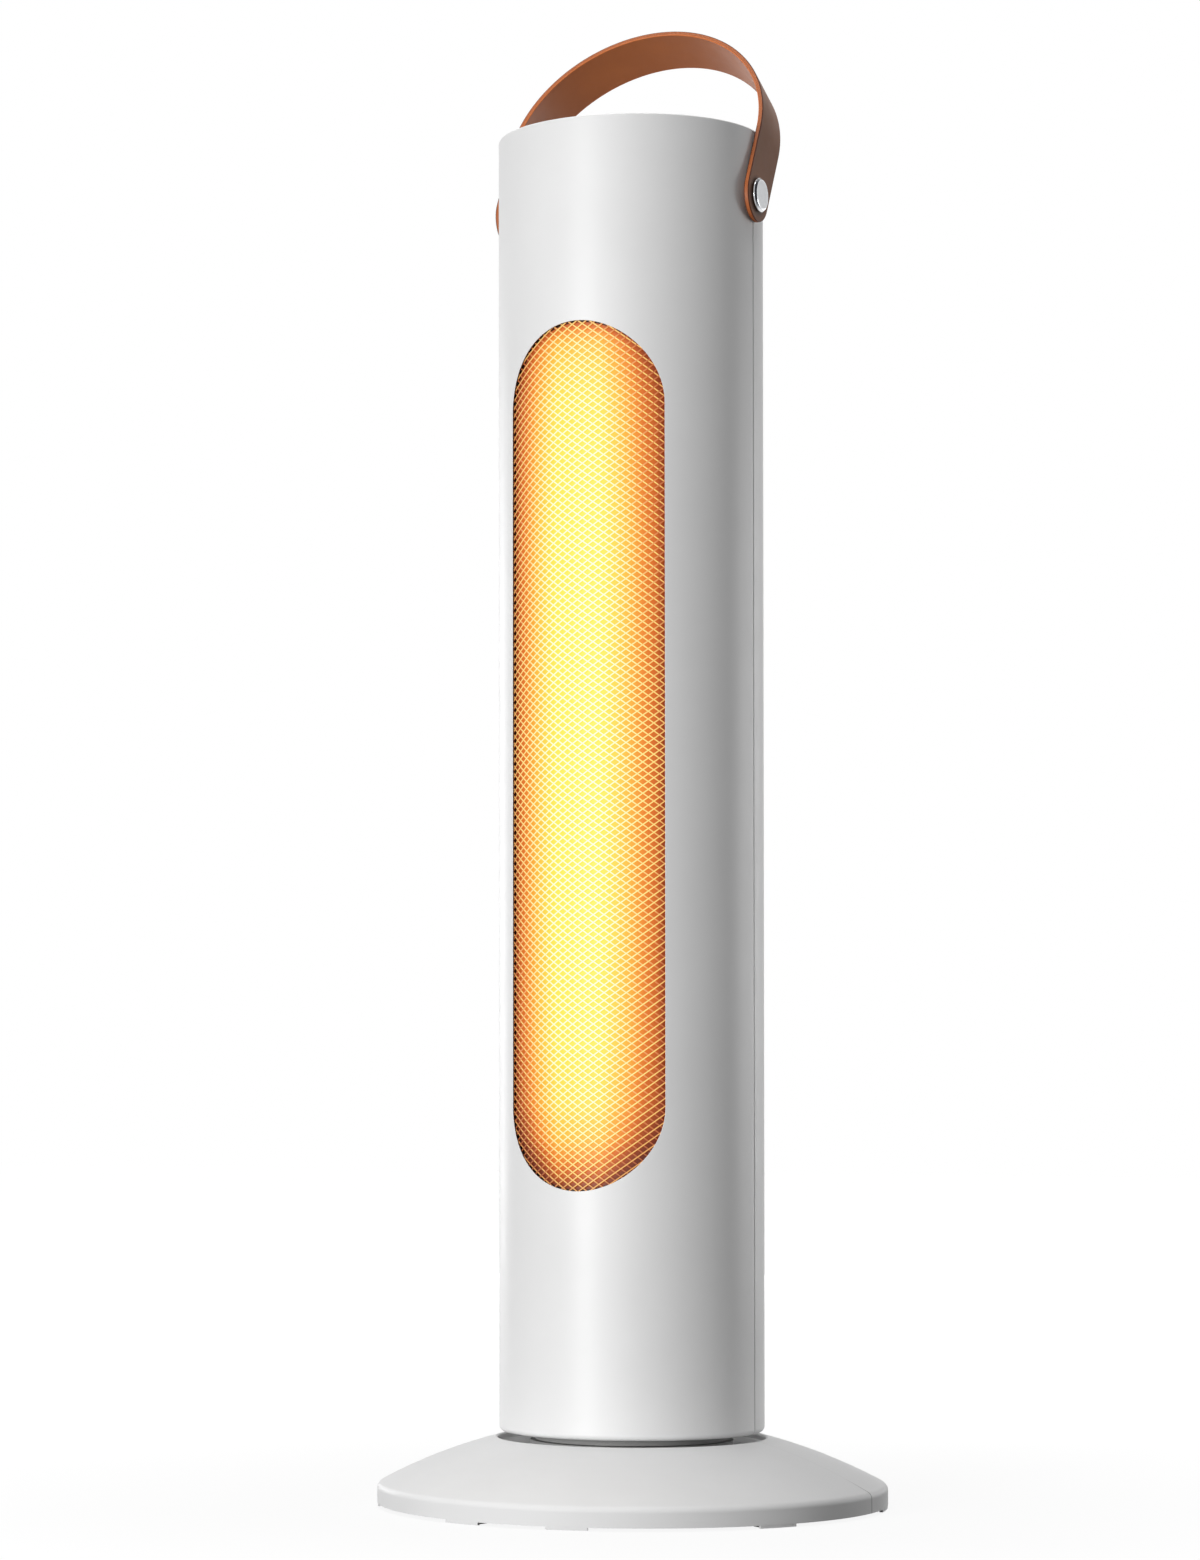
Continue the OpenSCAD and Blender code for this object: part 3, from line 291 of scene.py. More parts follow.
PORES, FINE_PORES = 0.03 * MM, 0.015 * MM
strap_outer = leather("strap_outer", (136, 88, 58), (124, 80, 52), 0.42, PORES, 0.08, rivet_shadow=True)
# strap_inner is the same leather as strap_outer, given a lighter, warmer colour: painted light that makes up
# for the shade the inner face lies in
strap_inner = leather("strap_inner", (156, 88, 42), (145, 80, 38), 0.5, PORES, 0.4)
strap_edge = leather("strap_edge", (172, 96, 50), (158, 86, 44), 0.5, FINE_PORES, 0.3)
# dark crease colour along the strap's outer edge; on the inner edge at the strap's ends the same colour is
# painted shade where the legs lie against the tower
strap_crease = leather("strap_crease", (84, 40, 18), (70, 33, 16), 0.55, FINE_PORES, 0.2)
strap_bead = leather("strap_bead", (206, 116, 62), (192, 106, 56), 0.5, FINE_PORES, 0.3)


# Looks of the rivets

rivet_face = finish_of("rivet_face", (168, 169, 171), 0.36, metallic=1.0, vary=0.04, patch=600, grain=4000,
                       depth=0.006 * MM)
rivet_side = finish_of("rivet_side", (208, 209, 212), 0.14, metallic=1.0, vary=0.05, patch=300, grain=4000,
                       depth=0.003 * MM)

# painted reflection on the rivets' bevel: colour by height, darkest in a band about BEVEL_UP over the pivot
BEVEL_UP = 0.4 * MM
BEVEL_REFLECTION_COLOURS = [(0.5, (50, 52, 56)), (0.78, (112, 115, 119)), (0.92, (190, 191, 194)),
                 (1.0, (222, 223, 225))]


def bevel_look():
    """Polished bevel with a painted reflection: darkest at about the height of the rivet's middle, lighter
    above and below it.
    """
    m, t, s = new_material("rivet_bevel")
    place = object_place(t)
    height = split_xyz(t, place)[2]
    off = math_node(t, "ABSOLUTE", math_node(t, "SUBTRACT", height, PIVOT_Z + BEVEL_UP))
    off = math_node(t, "DIVIDE", off, RIVET_R)
    off = math_node(t, "ADD", off, math_node(t, "MULTIPLY", noise(t, place, 900), 0.08))
    t.links.new(ramp(t, off, BEVEL_REFLECTION_COLOURS), s.inputs["Base Color"])
    s.inputs["Metallic"].default_value = 1.0
    s.inputs["Roughness"].default_value = 0.16
    t.links.new(bump(t, noise(t, place, 4000, 2.0), 0.3, 0.003 * MM), s.inputs["Normal"])
    return m


rivet_bevel = bevel_look()


# Glow of the window: a pattern of colour by place, strongest at its middle line

GLOW_ACROSS = [(0.0, 1.0), (0.28, 0.985), (0.45, 0.86), (0.6, 0.71), (0.78, 0.48), (0.92, 0.35), (1.0, 0.25)]
GLOW_UP = [(0.0, 0.15), (0.012, 0.28), (0.03, 0.46), (0.06, 0.74), (0.1, 0.9), (0.17, 0.97), (0.3, 1.0),
           (0.75, 1.0), (0.86, 0.965), (0.91, 0.93), (0.95, 0.84), (0.975, 0.73), (1.0, 0.40)]
SIDE_FALL = 3.6
MASK_R, MASK_SOFT = WINDOW_W / 2 - 0.5 * MM, 0.3 * MM
RIM_W, RIM_SHARE = 3.5 * MM, 0.72


def glow_level(t):
    """How strong the glow is at a place, its place across and up the window, and the mask of the window."""
    co = t.nodes.new("ShaderNodeTexCoord")
    x, y, z = split_xyz(t, co.outputs["Object"])
    angle = math_node(t, "ARCTAN2", x, math_node(t, "MULTIPLY", y, -1.0))
    across = math_node(t, "DIVIDE", angle, math.asin(WINDOW_W / 2 / TOWER_R))
    h = ramp(t, math_node(t, "ABSOLUTE", across), GLOW_ACROSS)
    up = math_node(t, "DIVIDE", math_node(t, "SUBTRACT", z, WINDOW_LOW), WINDOW_H)
    v = ramp(t, up, GLOW_UP)
    # towards the sides the glow falls off faster at the window's ends
    power = math_node(t, "ADD", math_node(t, "MULTIPLY", math_node(t, "SUBTRACT", 1.0, h), SIDE_FALL), 1.0)
    level = math_node(t, "MULTIPLY", h, math_node(t, "POWER", v, power))
    # distance from the line between the centres of the window's round ends
    past = math_node(t, "SUBTRACT", math_node(t, "ABSOLUTE", math_node(t, "SUBTRACT", z, WINDOW_MID)),
                     (WINDOW_H - WINDOW_W) / 2)
    inside = math_node(t, "SUBTRACT", MASK_R, distance(t, x, math_node(t, "MAXIMUM", past, 0.0)))
    mask = math_node(t, "ADD", math_node(t, "DIVIDE", inside, MASK_SOFT), 0.5, clamp=True)
    # painted shade: the glow falls to RIM_SHARE of its level near the window's edge, within RIM_W
    level = math_node(t, "MULTIPLY", level, remap(t, inside, RIM_SHARE, 1.0, 0.0, RIM_W))
    return level, across, up, mask


HOLE_COLOURS = [(0.0, (60, 14, 8)), (0.1, (104, 34, 10)), (0.2, (146, 58, 15)), (0.3, (186, 84, 22)),
                (0.4, (218, 108, 32)), (0.52, (240, 140, 44)), (0.7, (250, 182, 60)), (0.85, (253, 214, 78)),
                (0.95, (253, 232, 88)), (1.0, (254, 238, 94))]
BAND_COLOURS = [(0.0, (90, 34, 18)), (0.15, (150, 70, 30)), (0.3, (208, 108, 48)), (0.45, (240, 150, 64)),
                (0.6, (250, 180, 74)), (0.75, (253, 208, 92)), (0.9, (254, 232, 112)), (1.0, (255, 242, 130))]
WIRE_COLOURS = [(0.0, (214, 136, 70)), (0.2, (244, 190, 104)), (0.35, (252, 220, 124)),
                (0.5, (255, 238, 146)), (0.7, (255, 248, 184)), (0.9, (255, 253, 218)),
                (1.0, (255, 255, 232))]
DIM_COLOURS = [(0.0, (152, 74, 38)), (0.2, (186, 98, 50)), (0.35, (222, 134, 74)), (0.5, (244, 176, 112)),
               (0.7, (254, 226, 160)), (0.9, (255, 248, 206)), (1.0, (255, 255, 232))]
GRAIN_SHARE = 0.06
CORNER_RISE = 2.2


def glowing(name, colours, strength=1.0, dims=None, lean=0, body=0.05, masked=False):
    """A surface with a painted glow: emission colour set by place, standing in for the element's light. dims
    are the colours, in painted shade, of strands that run towards the window's corners.
    """
    m, t, s = new_material(name)
    level, across, up, mask = glow_level(t)
    grain = noise(t, object_place(t), 900, 2.0)
    speckle = math_node(t, "MULTIPLY", math_node(t, "SUBTRACT", grain, 0.5), GRAIN_SHARE)
    level = math_node(t, "ADD", level, speckle, clamp=True)
    colour = ramp(t, level, colours)
    if dims:
        half = math_node(t, "MULTIPLY", math_node(t, "SUBTRACT", up, 0.5), 2.0)
        corner = math_node(t, "MULTIPLY", math_node(t, "MULTIPLY", across, half), float(lean), clamp=True)
        corner = math_node(t, "MULTIPLY", corner, CORNER_RISE, clamp=True)
        colour = mix_colours(t, corner, colour, ramp(t, level, dims))
    t.links.new(colour, s.inputs["Emission Color"])
    if masked:
        t.links.new(mask, s.inputs["Emission Strength"])
    else:
        s.inputs["Emission Strength"].default_value = strength
    s.inputs["Base Color"].default_value = (body, body * 0.8, body * 0.6, 1)
    s.inputs["Roughness"].default_value = 0.45
    s.inputs["Specular IOR Level"].default_value = 0.2
    t.links.new(bump(t, grain, 0.2, 0.02 * MM), s.inputs["Normal"])
    return m


screen_glow = glowing("screen_glow", HOLE_COLOURS, body=0.02, masked=True)
band_glow = glowing("band_glow", BAND_COLOURS)
wire_up = glowing("wire_up", WIRE_COLOURS, dims=DIM_COLOURS, lean=1)
wire_down = glowing("wire_down", WIRE_COLOURS, dims=DIM_COLOURS, lean=-1)
reflector_glow = glowing("reflector_glow", BAND_COLOURS, strength=0.8)
tube_glow = glowing("tube_glow", WIRE_COLOURS, strength=0.9)

LOOKS = [
    (white, ["front_shell", "rear_shell", "top_cap"]),
    (base_white, ["base_cover"]),
    (black_plastic, ["base_plate", "thermal_cutout", "tilt_switch", "tact_switches"]),
    (floor_white, ["tower_floor", "thrust_ring"]),
    (pad_rubber, ["rubber_feet"]),
    (iron, ["ballast_weight"]),
    (steel, ["base_screws", "spindle_screws", "motor_screws", "shell_screws", "chassis_screws",
             "board_screws"]),
    (turned, ["swivel_spindle", "spindle_nut", "motor_shaft"]),
    (nylon, ["fixed_gear", "drive_pinion"]),
    (gland, ["cord_gland"]),
    (brass, ["swivel_bush"]),
    (cord, ["base_lead", "tower_lead", "wire_loom"]),
    (motor, ["swing_motor"]),
    (frame_black, ["grille_frame"]),
    (screen_glow, ["glow_screen"]),
    (sheet, ["chassis", "lower_tube_bracket", "upper_tube_bracket", "handle_brackets"]),
    (reflector_glow, ["reflector"]),
    (ceramic, ["tube_end_caps"]),
    (tube_glow, ["quartz_tube", "carbon_filament"]),
    (terminal, ["terminal_block", "board_spacers"]),
    (board, ["power_board", "control_board"]),
    (component, ["board_components"]),
    (lens, ["indicator_lens"]),
    (button_white, ["power_button", "heat_button", "swing_button"]),
    (band_glow, ["grille"]),
    (rivet_face, ["handle_rivets"]),
    (strap_outer, ["handle_strap"]),
]
for look, names in LOOKS:
    for name in names:
        slots = nodes[name].data.materials
        if len(slots) == 0:
            slots.append(look)
        for i in range(len(slots)):
            slots[i] = look


# Mesh builder with a normal for each corner of each face

class Skin:
    def __init__(self):
        self.places, self.faces, self.normals, self.looks = [], [], [], []

    def points(self, places):
        first = len(self.places)
        self.places += [tuple(p) for p in places]
        return list(range(first, len(self.places)))

    def face(self, ids, normals, look=0):
        ids, normals = list(ids), list(normals)
        if len(set(ids)) < 3:
            return
        kept = [i for i in range(len(ids)) if ids[i] != ids[i - 1]]
        ids, normals = [ids[i] for i in kept], [normals[i] for i in kept]
        way = Vector((0, 0, 0))
        p = [Vector(self.places[i]) for i in ids]
        for i in range(1, len(p) - 1):
            way += (p[i] - p[0]).cross(p[i + 1] - p[0])
        if way.dot(sum((Vector(n) for n in normals), Vector())) < 0:
            ids.reverse()
            normals.reverse()
        self.faces.append(ids)
        self.normals.append([tuple(n) for n in normals])
        self.looks.append(look)

    def strip(self, a, b, na, nb, look=0, closed=False):
        for i in range(len(a) - (0 if closed else 1)):
            j = (i + 1) % len(a)
            self.face((a[i], a[j], b[j], b[i]), (na[i], na[j], nb[j], nb[i]), look)

    def make(self, name, looks):
        me = bpy.data.meshes.new(name)
        me.from_pydata(self.places, [], self.faces)
        for look in looks:
            me.materials.append(look)
        me.polygons.foreach_set("material_index", self.looks)
        me.polygons.foreach_set("use_smooth", [True] * len(self.faces))
        me.update()
        corner = [n for face in self.normals for n in face]
        me.normals_split_custom_set(corner)
        ob = bpy.data.objects.new(name, me)
        scene.collection.objects.link(ob)
        return ob


# Tower shells

def at(angle, r, z):
    """Point at an angle from the front, towards +X."""
    return (r * math.sin(angle), -r * math.cos(angle), z)


def stadium(w, h, across, upright, step=3 * MM):
    """Closed outline of a round-ended slot, centred on the origin, with its outward normals."""
    r = min(w, h) / 2
    long = abs(h - w) / 2
    sides = max(1, int(round(2 * long / step)))
    pts, out = [], []
    for end in (1, -1):
        for i in range(across + 1):
            a = math.pi * i / across
            pts.append((end * r * math.cos(a), end * (long + r * math.sin(a))))
            out.append((end * math.cos(a), end * math.sin(a)))
        for i in range(1, sides):
            pts.append((-end * r, end * (long - 2 * long * i / sides)))
            out.append((-end, 0.0))
    if not upright:
        pts, out = [(b, a) for a, b in pts], [(b, a) for a, b in out]
    return pts, out


def in_stadium(x, z, w, h):
    r = min(w, h) / 2
    long = abs(h - w) / 2
    if h > w:
        return math.hypot(x, max(0.0, abs(z) - long)) < r
    return math.hypot(z, max(0.0, abs(x) - long)) < r


HOLE_SPARE, CUT_SPARE = 1.2 * MM, 0.02 * MM


def wall_region(skin, r, columns, levels, left, right, bottom, top, holes, inward):
    """The part of a cylinder between given edges, with holes. left and right are the ids up its sides."""
    flat, ids, edges = [], [], []

    def add(angle, z, i):
        flat.append(Vector((angle * r, z)))
        ids.append(i)
        return len(flat) - 1

    low = [add(a, levels[0], i) for a, i in zip(columns, bottom)]
    high = [add(a, levels[-1], i) for a, i in zip(columns, top)]
    lside = [low[0]] + [add(columns[0], z, i) for z, i in zip(levels[1:-1], left)] + [high[0]]
    rside = [low[-1]] + [add(columns[-1], z, i) for z, i in zip(levels[1:-1], right)] + [high[-1]]
    for line in (low, high, lside, rside):
        edges += list(zip(line[:-1], line[1:]))
    for hole in holes:
        loop = [add(a, z, i) for (a, z), i in zip(hole["flat"], hole["ids"])]
        edges += list(zip(loop, loop[1:] + loop[:1]))

    def clear(angle, z, spare):
        for hole in holes:
            turn = angle - hole["turn"]
            grown = (hole["w"] + 2 * spare, hole["h"] + 2 * spare)
            if abs(turn) < math.pi / 2 and in_stadium(r * math.sin(turn), z - hole["z"], *grown):
                return False
        return True

    for a in columns[1:-1]:
        for z in levels[1:-1]:
            if clear(a, z, HOLE_SPARE):
                add(a, z, None)
    got, _, tris, source, _, _ = delaunay_2d_cdt(flat, edges, [], 0, 1e-7, True)
    final = []
    for p, src in zip(got, source):
        known = [ids[k] for k in src if ids[k] is not None]
        final.append(known[0] if known else skin.points([at(p[0] / r, r, p[1])])[0])
    normal = [tuple((-1 if inward else 1) * c for c in at(p[0] / r, 1, 0)) for p in got]
    for tri in tris:
        cx = sum(got[i][0] for i in tri) / 3 / r
        cz = sum(got[i][1] for i in tri) / 3
        if clear(cx, cz, -CUT_SPARE):
            skin.face([final[i] for i in tri], [normal[i] for i in tri])


EDGE_R, RIM_R, INNER_RIM_R, FLANGE = 2.4 * MM, 0.7 * MM, 0.5 * MM, 4 * MM
SEAM_GAP, SEAM_BEAD = 0.1 * MM, 0.45 * MM
SEAM_STEPS = [math.radians(a) for a in (30, 60, 90)]
LIP_STEPS = [math.radians(a) for a in (0, 22.5, 45, 67.5, 90)]
WALL_COLUMNS, OUTER_LEVELS, INNER_LEVELS = 90, 52, 30


def wall_profile():
    """Section of the wall as (r, z, normal r, normal z), and where its outer and inner face start and end."""
    def arc(r, z, radius, start, steps):
        turns = [math.radians(start + 90 * i / steps) for i in range(steps + 1)]
        return [(r + radius * math.cos(a), z + radius * math.sin(a), math.cos(a), math.sin(a)) for a in turns]

    pts = [(INNER_R - FLANGE, TOWER_Z, 0, -1)]
    pts += arc(TOWER_R - EDGE_R, TOWER_Z + EDGE_R, EDGE_R, -90, 12)
    low = len(pts) - 1
    pts += arc(TOWER_R - RIM_R, TOP_Z - RIM_R, RIM_R, 0, 6)
    pts += arc(INNER_R + INNER_RIM_R, TOP_Z - INNER_RIM_R, INNER_RIM_R, 90, 4)
    high = len(pts) - 1
    pts += [(INNER_R, TOWER_Z + WALL, -1, 0), (INNER_R - FLANGE, TOWER_Z + WALL, 0, 1)]
    return pts, low, high


def half_shell(turn, holes, lip, look_cut):
    """One half of the tower's wall, facing the angle turn. Its holes are cut straight through that way."""
    skin = Skin()
    seam_look = 1 + look_cut
    half = math.pi / 2 - (SEAM_GAP + SEAM_BEAD) / TOWER_R
    columns = [turn + half * (2 * i / WALL_COLUMNS - 1) for i in range(WALL_COLUMNS + 1)]
    section, low, high = wall_profile()
    # Angles and how far each column lies under the surface, with the rounded seam edges at both ends
    places = [(columns[0] - SEAM_BEAD * math.sin(b) / TOWER_R, SEAM_BEAD * (1 - math.cos(b)), -math.sin(b))
              for b in reversed(SEAM_STEPS)]
    places += [(a, 0.0, 0.0) for a in columns]
    places += [(columns[-1] + SEAM_BEAD * math.sin(b) / TOWER_R, SEAM_BEAD * (1 - math.cos(b)), math.sin(b))
               for b in SEAM_STEPS]
    ends = len(SEAM_STEPS)

    def normal_at(a, side, nr, nz):
        """The section's normal at an angle, turned sideways on the rounded seam edge."""
        flat = math.sqrt(max(0.0, 1 - side * side))
        return tuple(Vector(at(a, nr * flat, nz * flat)) + Vector((math.cos(a), math.sin(a), 0)) * side)

    def row(r, z, nr, nz):
        pts = [at(a, r - nr * under, z - nz * under) for a, under, _ in places]
        return skin.points(pts), [normal_at(a, side, nr, nz) for a, _, side in places]

    def band(below, above, na, nb, look_low=True, look_high=True):
        """Strip along the wall, with the deepest columns of the seam in painted shade."""
        last = len(below) - 2
        for c in range(last + 1):
            dark = (c == 0 and look_low) or (c == last and look_high)
            skin.face((below[c], below[c + 1], above[c + 1], above[c]), (na[c], na[c + 1], nb[c + 1], nb[c]),
                      seam_look if dark else 0)

    rows = [row(*p) for p in section]
    levels_out = list(np.linspace(section[low][1], section[low + 1][1], OUTER_LEVELS))
    levels_in = list(np.linspace(section[high + 1][1], section[high][1], INNER_LEVELS))
    for k in range(len(section)):
        j = (k + 1) % len(section)
        if k in (low, high):
            continue
        normals_a, normals_b = rows[k][1], rows[j][1]
        if k in (0, high + 1, high + 2, len(section) - 1):
            mid = Vector(section[j][:2]) - Vector(section[k][:2])
            flat = (mid[1], -mid[0]) / np.hypot(*mid)
            normals_a = normals_b = [tuple(Vector(at(a, flat[0], flat[1]))) for a, _, _ in places]
        band(rows[k][0], rows[j][0], normals_a, normals_b)

    def tall(k, j, levels, inward):
        """Middle rows of the seam edges, and the wall between them."""
        r, nr = section[k][0], -1.0 if inward else 1.0
        sides = []
        for part in (range(0, ends + 1), range(len(places) - ends - 1, len(places))):
            start = part[0] == 0
            lines = []
            for z in levels[1:-1]:
                pts = [at(places[c][0], r - nr * places[c][1], z) for c in part]
                lines.append(skin.points(pts))
            lines = [[rows[k][0][c] for c in part]] + lines + [[rows[j][0][c] for c in part]]
            normals = [normal_at(places[c][0], places[c][2], nr, 0) for c in part]
            for below, above in zip(lines[:-1], lines[1:]):
                band(below, above, normals, normals, start, not start)
            sides.append(lines)
        return sides

    out_sides = tall(low, low + 1, levels_out, False)
    in_sides = tall(high + 1, high, levels_in, True)

    def hole_ring(hole, way, off, under):
        """The hole's outline, grown by off, at a depth under the surface."""
        pts, out = stadium(hole["w"], hole["h"], hole["across"], hole["h"] > hole["w"], hole["step"])
        flat = []
        for (x, z), (nx, nz) in zip(pts, out):
            x, z = x + nx * off, z + nz * off
            flat.append((way + math.asin(x / (TOWER_R - under)), hole["z"] + z))
        return skin.points([at(a, TOWER_R - under, z) for a, z in flat]), flat, out

    def cut(ring, hole, way, grow):
        """A hole for wall_region, from the ring that bounds it."""
        return {"ids": ring[0], "flat": ring[1], "turn": way, "z": hole["z"],
                "w": hole["w"] + 2 * grow, "h": hole["h"] + 2 * grow}

    # Holes: rounded edge outside, a cut in look_cut (painted shade at the front's window), and the edge
    # inside
    out_holes, in_holes = [], []
    for hole in holes:
        way = turn + hole["turn"]
        depth, rebate = hole.get("wall", WALL), hole.get("rebate", 0.0)
        # how far the ring is grown, its depth, and the parts that the surface and the cut have in its normal
        rings = [(lip * (1 - math.sin(b)), lip * (1 - math.cos(b)), math.cos(b), math.sin(b))
                 for b in LIP_STEPS]
        rings.append((0.0, depth, 0.0, 1.0))
        made, made_normals = [], []
        for off, under, face_out, face_in in rings:
            made.append(hole_ring(hole, way, off, under))
            normals = []
            for (a, _), (nx, nz) in zip(made[-1][1], made[-1][2]):
                inside = Vector((-nx * math.cos(way), -nx * math.sin(way), -nz))
                normals.append(tuple((Vector(at(a, 1, 0)) * face_out + inside * face_in).normalized()))
            made_normals.append(normals)
        for i in range(len(made) - 1):
            skin.strip(made[i][0], made[i + 1][0], made_normals[i], made_normals[i + 1],
                       0 if i < len(LIP_STEPS) - 1 else look_cut, closed=True)
        out_holes.append(cut(made[0], hole, way, lip))
        edge = made[-1]
        for under in (depth, WALL) if rebate else ():
            ring = hole_ring(hole, way, rebate, under)
            inward = [tuple(-c for c in at(a, 1, 0)) for a, _ in ring[1]]
            skin.strip(edge[0], ring[0], inward, inward, look_cut, closed=True)
            edge = ring
        in_holes.append(cut(edge, hole, way, rebate))

    mid = slice(ends, len(places) - ends)
    for r, levels, sides, k, j, cuts, inward in (
            (TOWER_R, levels_out, out_sides, low, low + 1, out_holes, False),
            (INNER_R, levels_in, in_sides, high + 1, high, in_holes, True)):
        wall_region(skin, r, columns, levels, [l[-1] for l in sides[0][1:-1]], [l[0] for l in sides[1][1:-1]],
                    rows[k][0][mid], rows[j][0][mid], cuts, inward)

    # Faces of the seam, in painted shade
    for side, sign in ((0, -1), (-1, 1)):
        c = 0 if side == 0 else -1
        loop = []
        for k in range(len(section)):
            loop.append(rows[k][0][c])
            if k == low:
                loop += [l[c] for l in out_sides[side][1:-1]]
            if k == high:
                loop += [l[c] for l in reversed(in_sides[side][1:-1])]
        a = places[c][0]
        flat = tuple(Vector((math.cos(a), math.sin(a), 0)) * sign)
        skin.face(loop, [flat] * len(loop), seam_look)
    return skin


window = {"w": WINDOW_W, "h": WINDOW_H, "z": WINDOW_MID, "turn": 0.0, "across": 64, "step": 4 * MM,
          "wall": WINDOW_WALL, "rebate": 4 * MM}
front = half_shell(0.0, [window], 0.2 * MM, 1).make("shell_front", [white, window_cut_shade, seam_shade])
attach(front, "tower")
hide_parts("front_shell")

VENT = {"w": 22 * MM, "h": 3 * MM, "across": 10, "step": 4 * MM}
VENT_ROWS, VENT_PITCH = 9, 9 * MM
VENT_TURN = math.radians(28)
VENT_LOW, VENT_HIGH = TOWER_Z + 66 * MM, PIVOT_Z - 64 * MM
vent_rows = [VENT_LOW + VENT_PITCH * i for i in range(VENT_ROWS)]
vent_rows += [VENT_HIGH - VENT_PITCH * i for i in range(VENT_ROWS)]
vents = [dict(VENT, z=z, turn=VENT_TURN * c) for z in vent_rows for c in (-1, 0, 1)]
rear = half_shell(math.pi, vents, 0.3 * MM, 0).make("shell_rear", [white, seam_shade])
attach(rear, "tower")
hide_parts("rear_shell")


# Window mesh: two families of ridged strands on the cylinder behind the wall

MESH_PITCH = 3.30 * MM
MESH_HALF_TURN = math.radians(2.4)
MESH_GAP, MESH_DROP, MESH_SPARE = 0.2 * MM, 0.05 * MM, 3 * MM
# section of a strand in millimetres: across it, and under the surface
STRAND = [(-0.34, 0.16), (-0.23, 0.02), (0.23, 0.02), (0.34, 0.16), (0.30, 0.30), (-0.30, 0.30)]


def window_mesh():
    skin = Skin()
    outer = TOWER_R - WINDOW_WALL - MESH_GAP
    rise = MESH_PITCH / 2
    slope = rise / MESH_HALF_TURN
    section = [(a * MM, b * MM) for a, b in STRAND]
    wide, tall = WINDOW_W + 2 * MESH_SPARE, WINDOW_H + 2 * MESH_SPARE
    reach = int(math.asin((WINDOW_W / 2 + MESH_SPARE) / TOWER_R) / MESH_HALF_TURN) + 1
    span = int((WINDOW_H / 2 + MESH_SPARE + reach * rise) / MESH_PITCH) + 1
    for lean, drop, ridge in ((1, 0.0, 1), (-1, MESH_DROP, 2)):
        along = Vector((1.0, lean * slope / outer)).normalized()
        across = Vector((-along[1], along[0]))
        for k in range(-span, span + 1):
            run = []
            for i in range(-reach, reach + 1):
                x, z = TOWER_R * math.sin(i * MESH_HALF_TURN), k * MESH_PITCH + lean * i * rise
                if in_stadium(x, z, wide, tall):
                    run.append(i)
            if len(run) < 2:
                continue
            rings = []
            for i in run:
                ring, a0, z0 = [], i * MESH_HALF_TURN, WINDOW_MID + k * MESH_PITCH + lean * i * rise
                for off, under in section:
                    place = at(a0 + across[0] * off / outer, outer - drop - under, z0 + across[1] * off)
                    ring.append(place)
                rings.append(skin.points(ring))
            n = len(section)
            for r in range(len(rings) - 1):
                ends = (run[r] * MESH_HALF_TURN, run[r + 1] * MESH_HALF_TURN)
                for c in range(n):
                    d = (c + 1) % n
                    edge = Vector((section[d][0] - section[c][0], section[c][1] - section[d][1]))
                    edge.normalize()
                    face_across, face_out = -edge[1], edge[0]
                    normals = []
                    for a in ends:
                        radial = Vector(at(a, 1, 0))
                        side = Vector((math.cos(a) * across[0], math.sin(a) * across[0], across[1]))
                        normals.append(tuple((radial * face_out + side * face_across).normalized()))
                    skin.face((rings[r][c], rings[r][d], rings[r + 1][d], rings[r + 1][c]),
                              (normals[0], normals[0], normals[1], normals[1]), ridge if c == 1 else 0)
            for ring, sign in ((rings[0], -1), (rings[-1], 1)):
                a = run[0 if sign < 0 else -1] * MESH_HALF_TURN
                end = tuple(Vector((math.cos(a) * along[0], math.sin(a) * along[0], along[1])) * sign)
                skin.face(ring, [end] * n)
    return skin


mesh_piece = window_mesh().make("window_mesh", [band_glow, wire_up, wire_down])
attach(mesh_piece, "tower")
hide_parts("grille")


# Strap: a plate with round ends, bent over the tower

STRAP_ROUND = 0.42 * MM
STRAP_BULGE = 0.05 * MM
END_STEPS, SIDE_STEPS = 24, 150
STRAP_OUTER, STRAP_INNER, STRAP_CREASE_AND_SHADE, STRAP_EDGE, STRAP_BEAD = range(5)


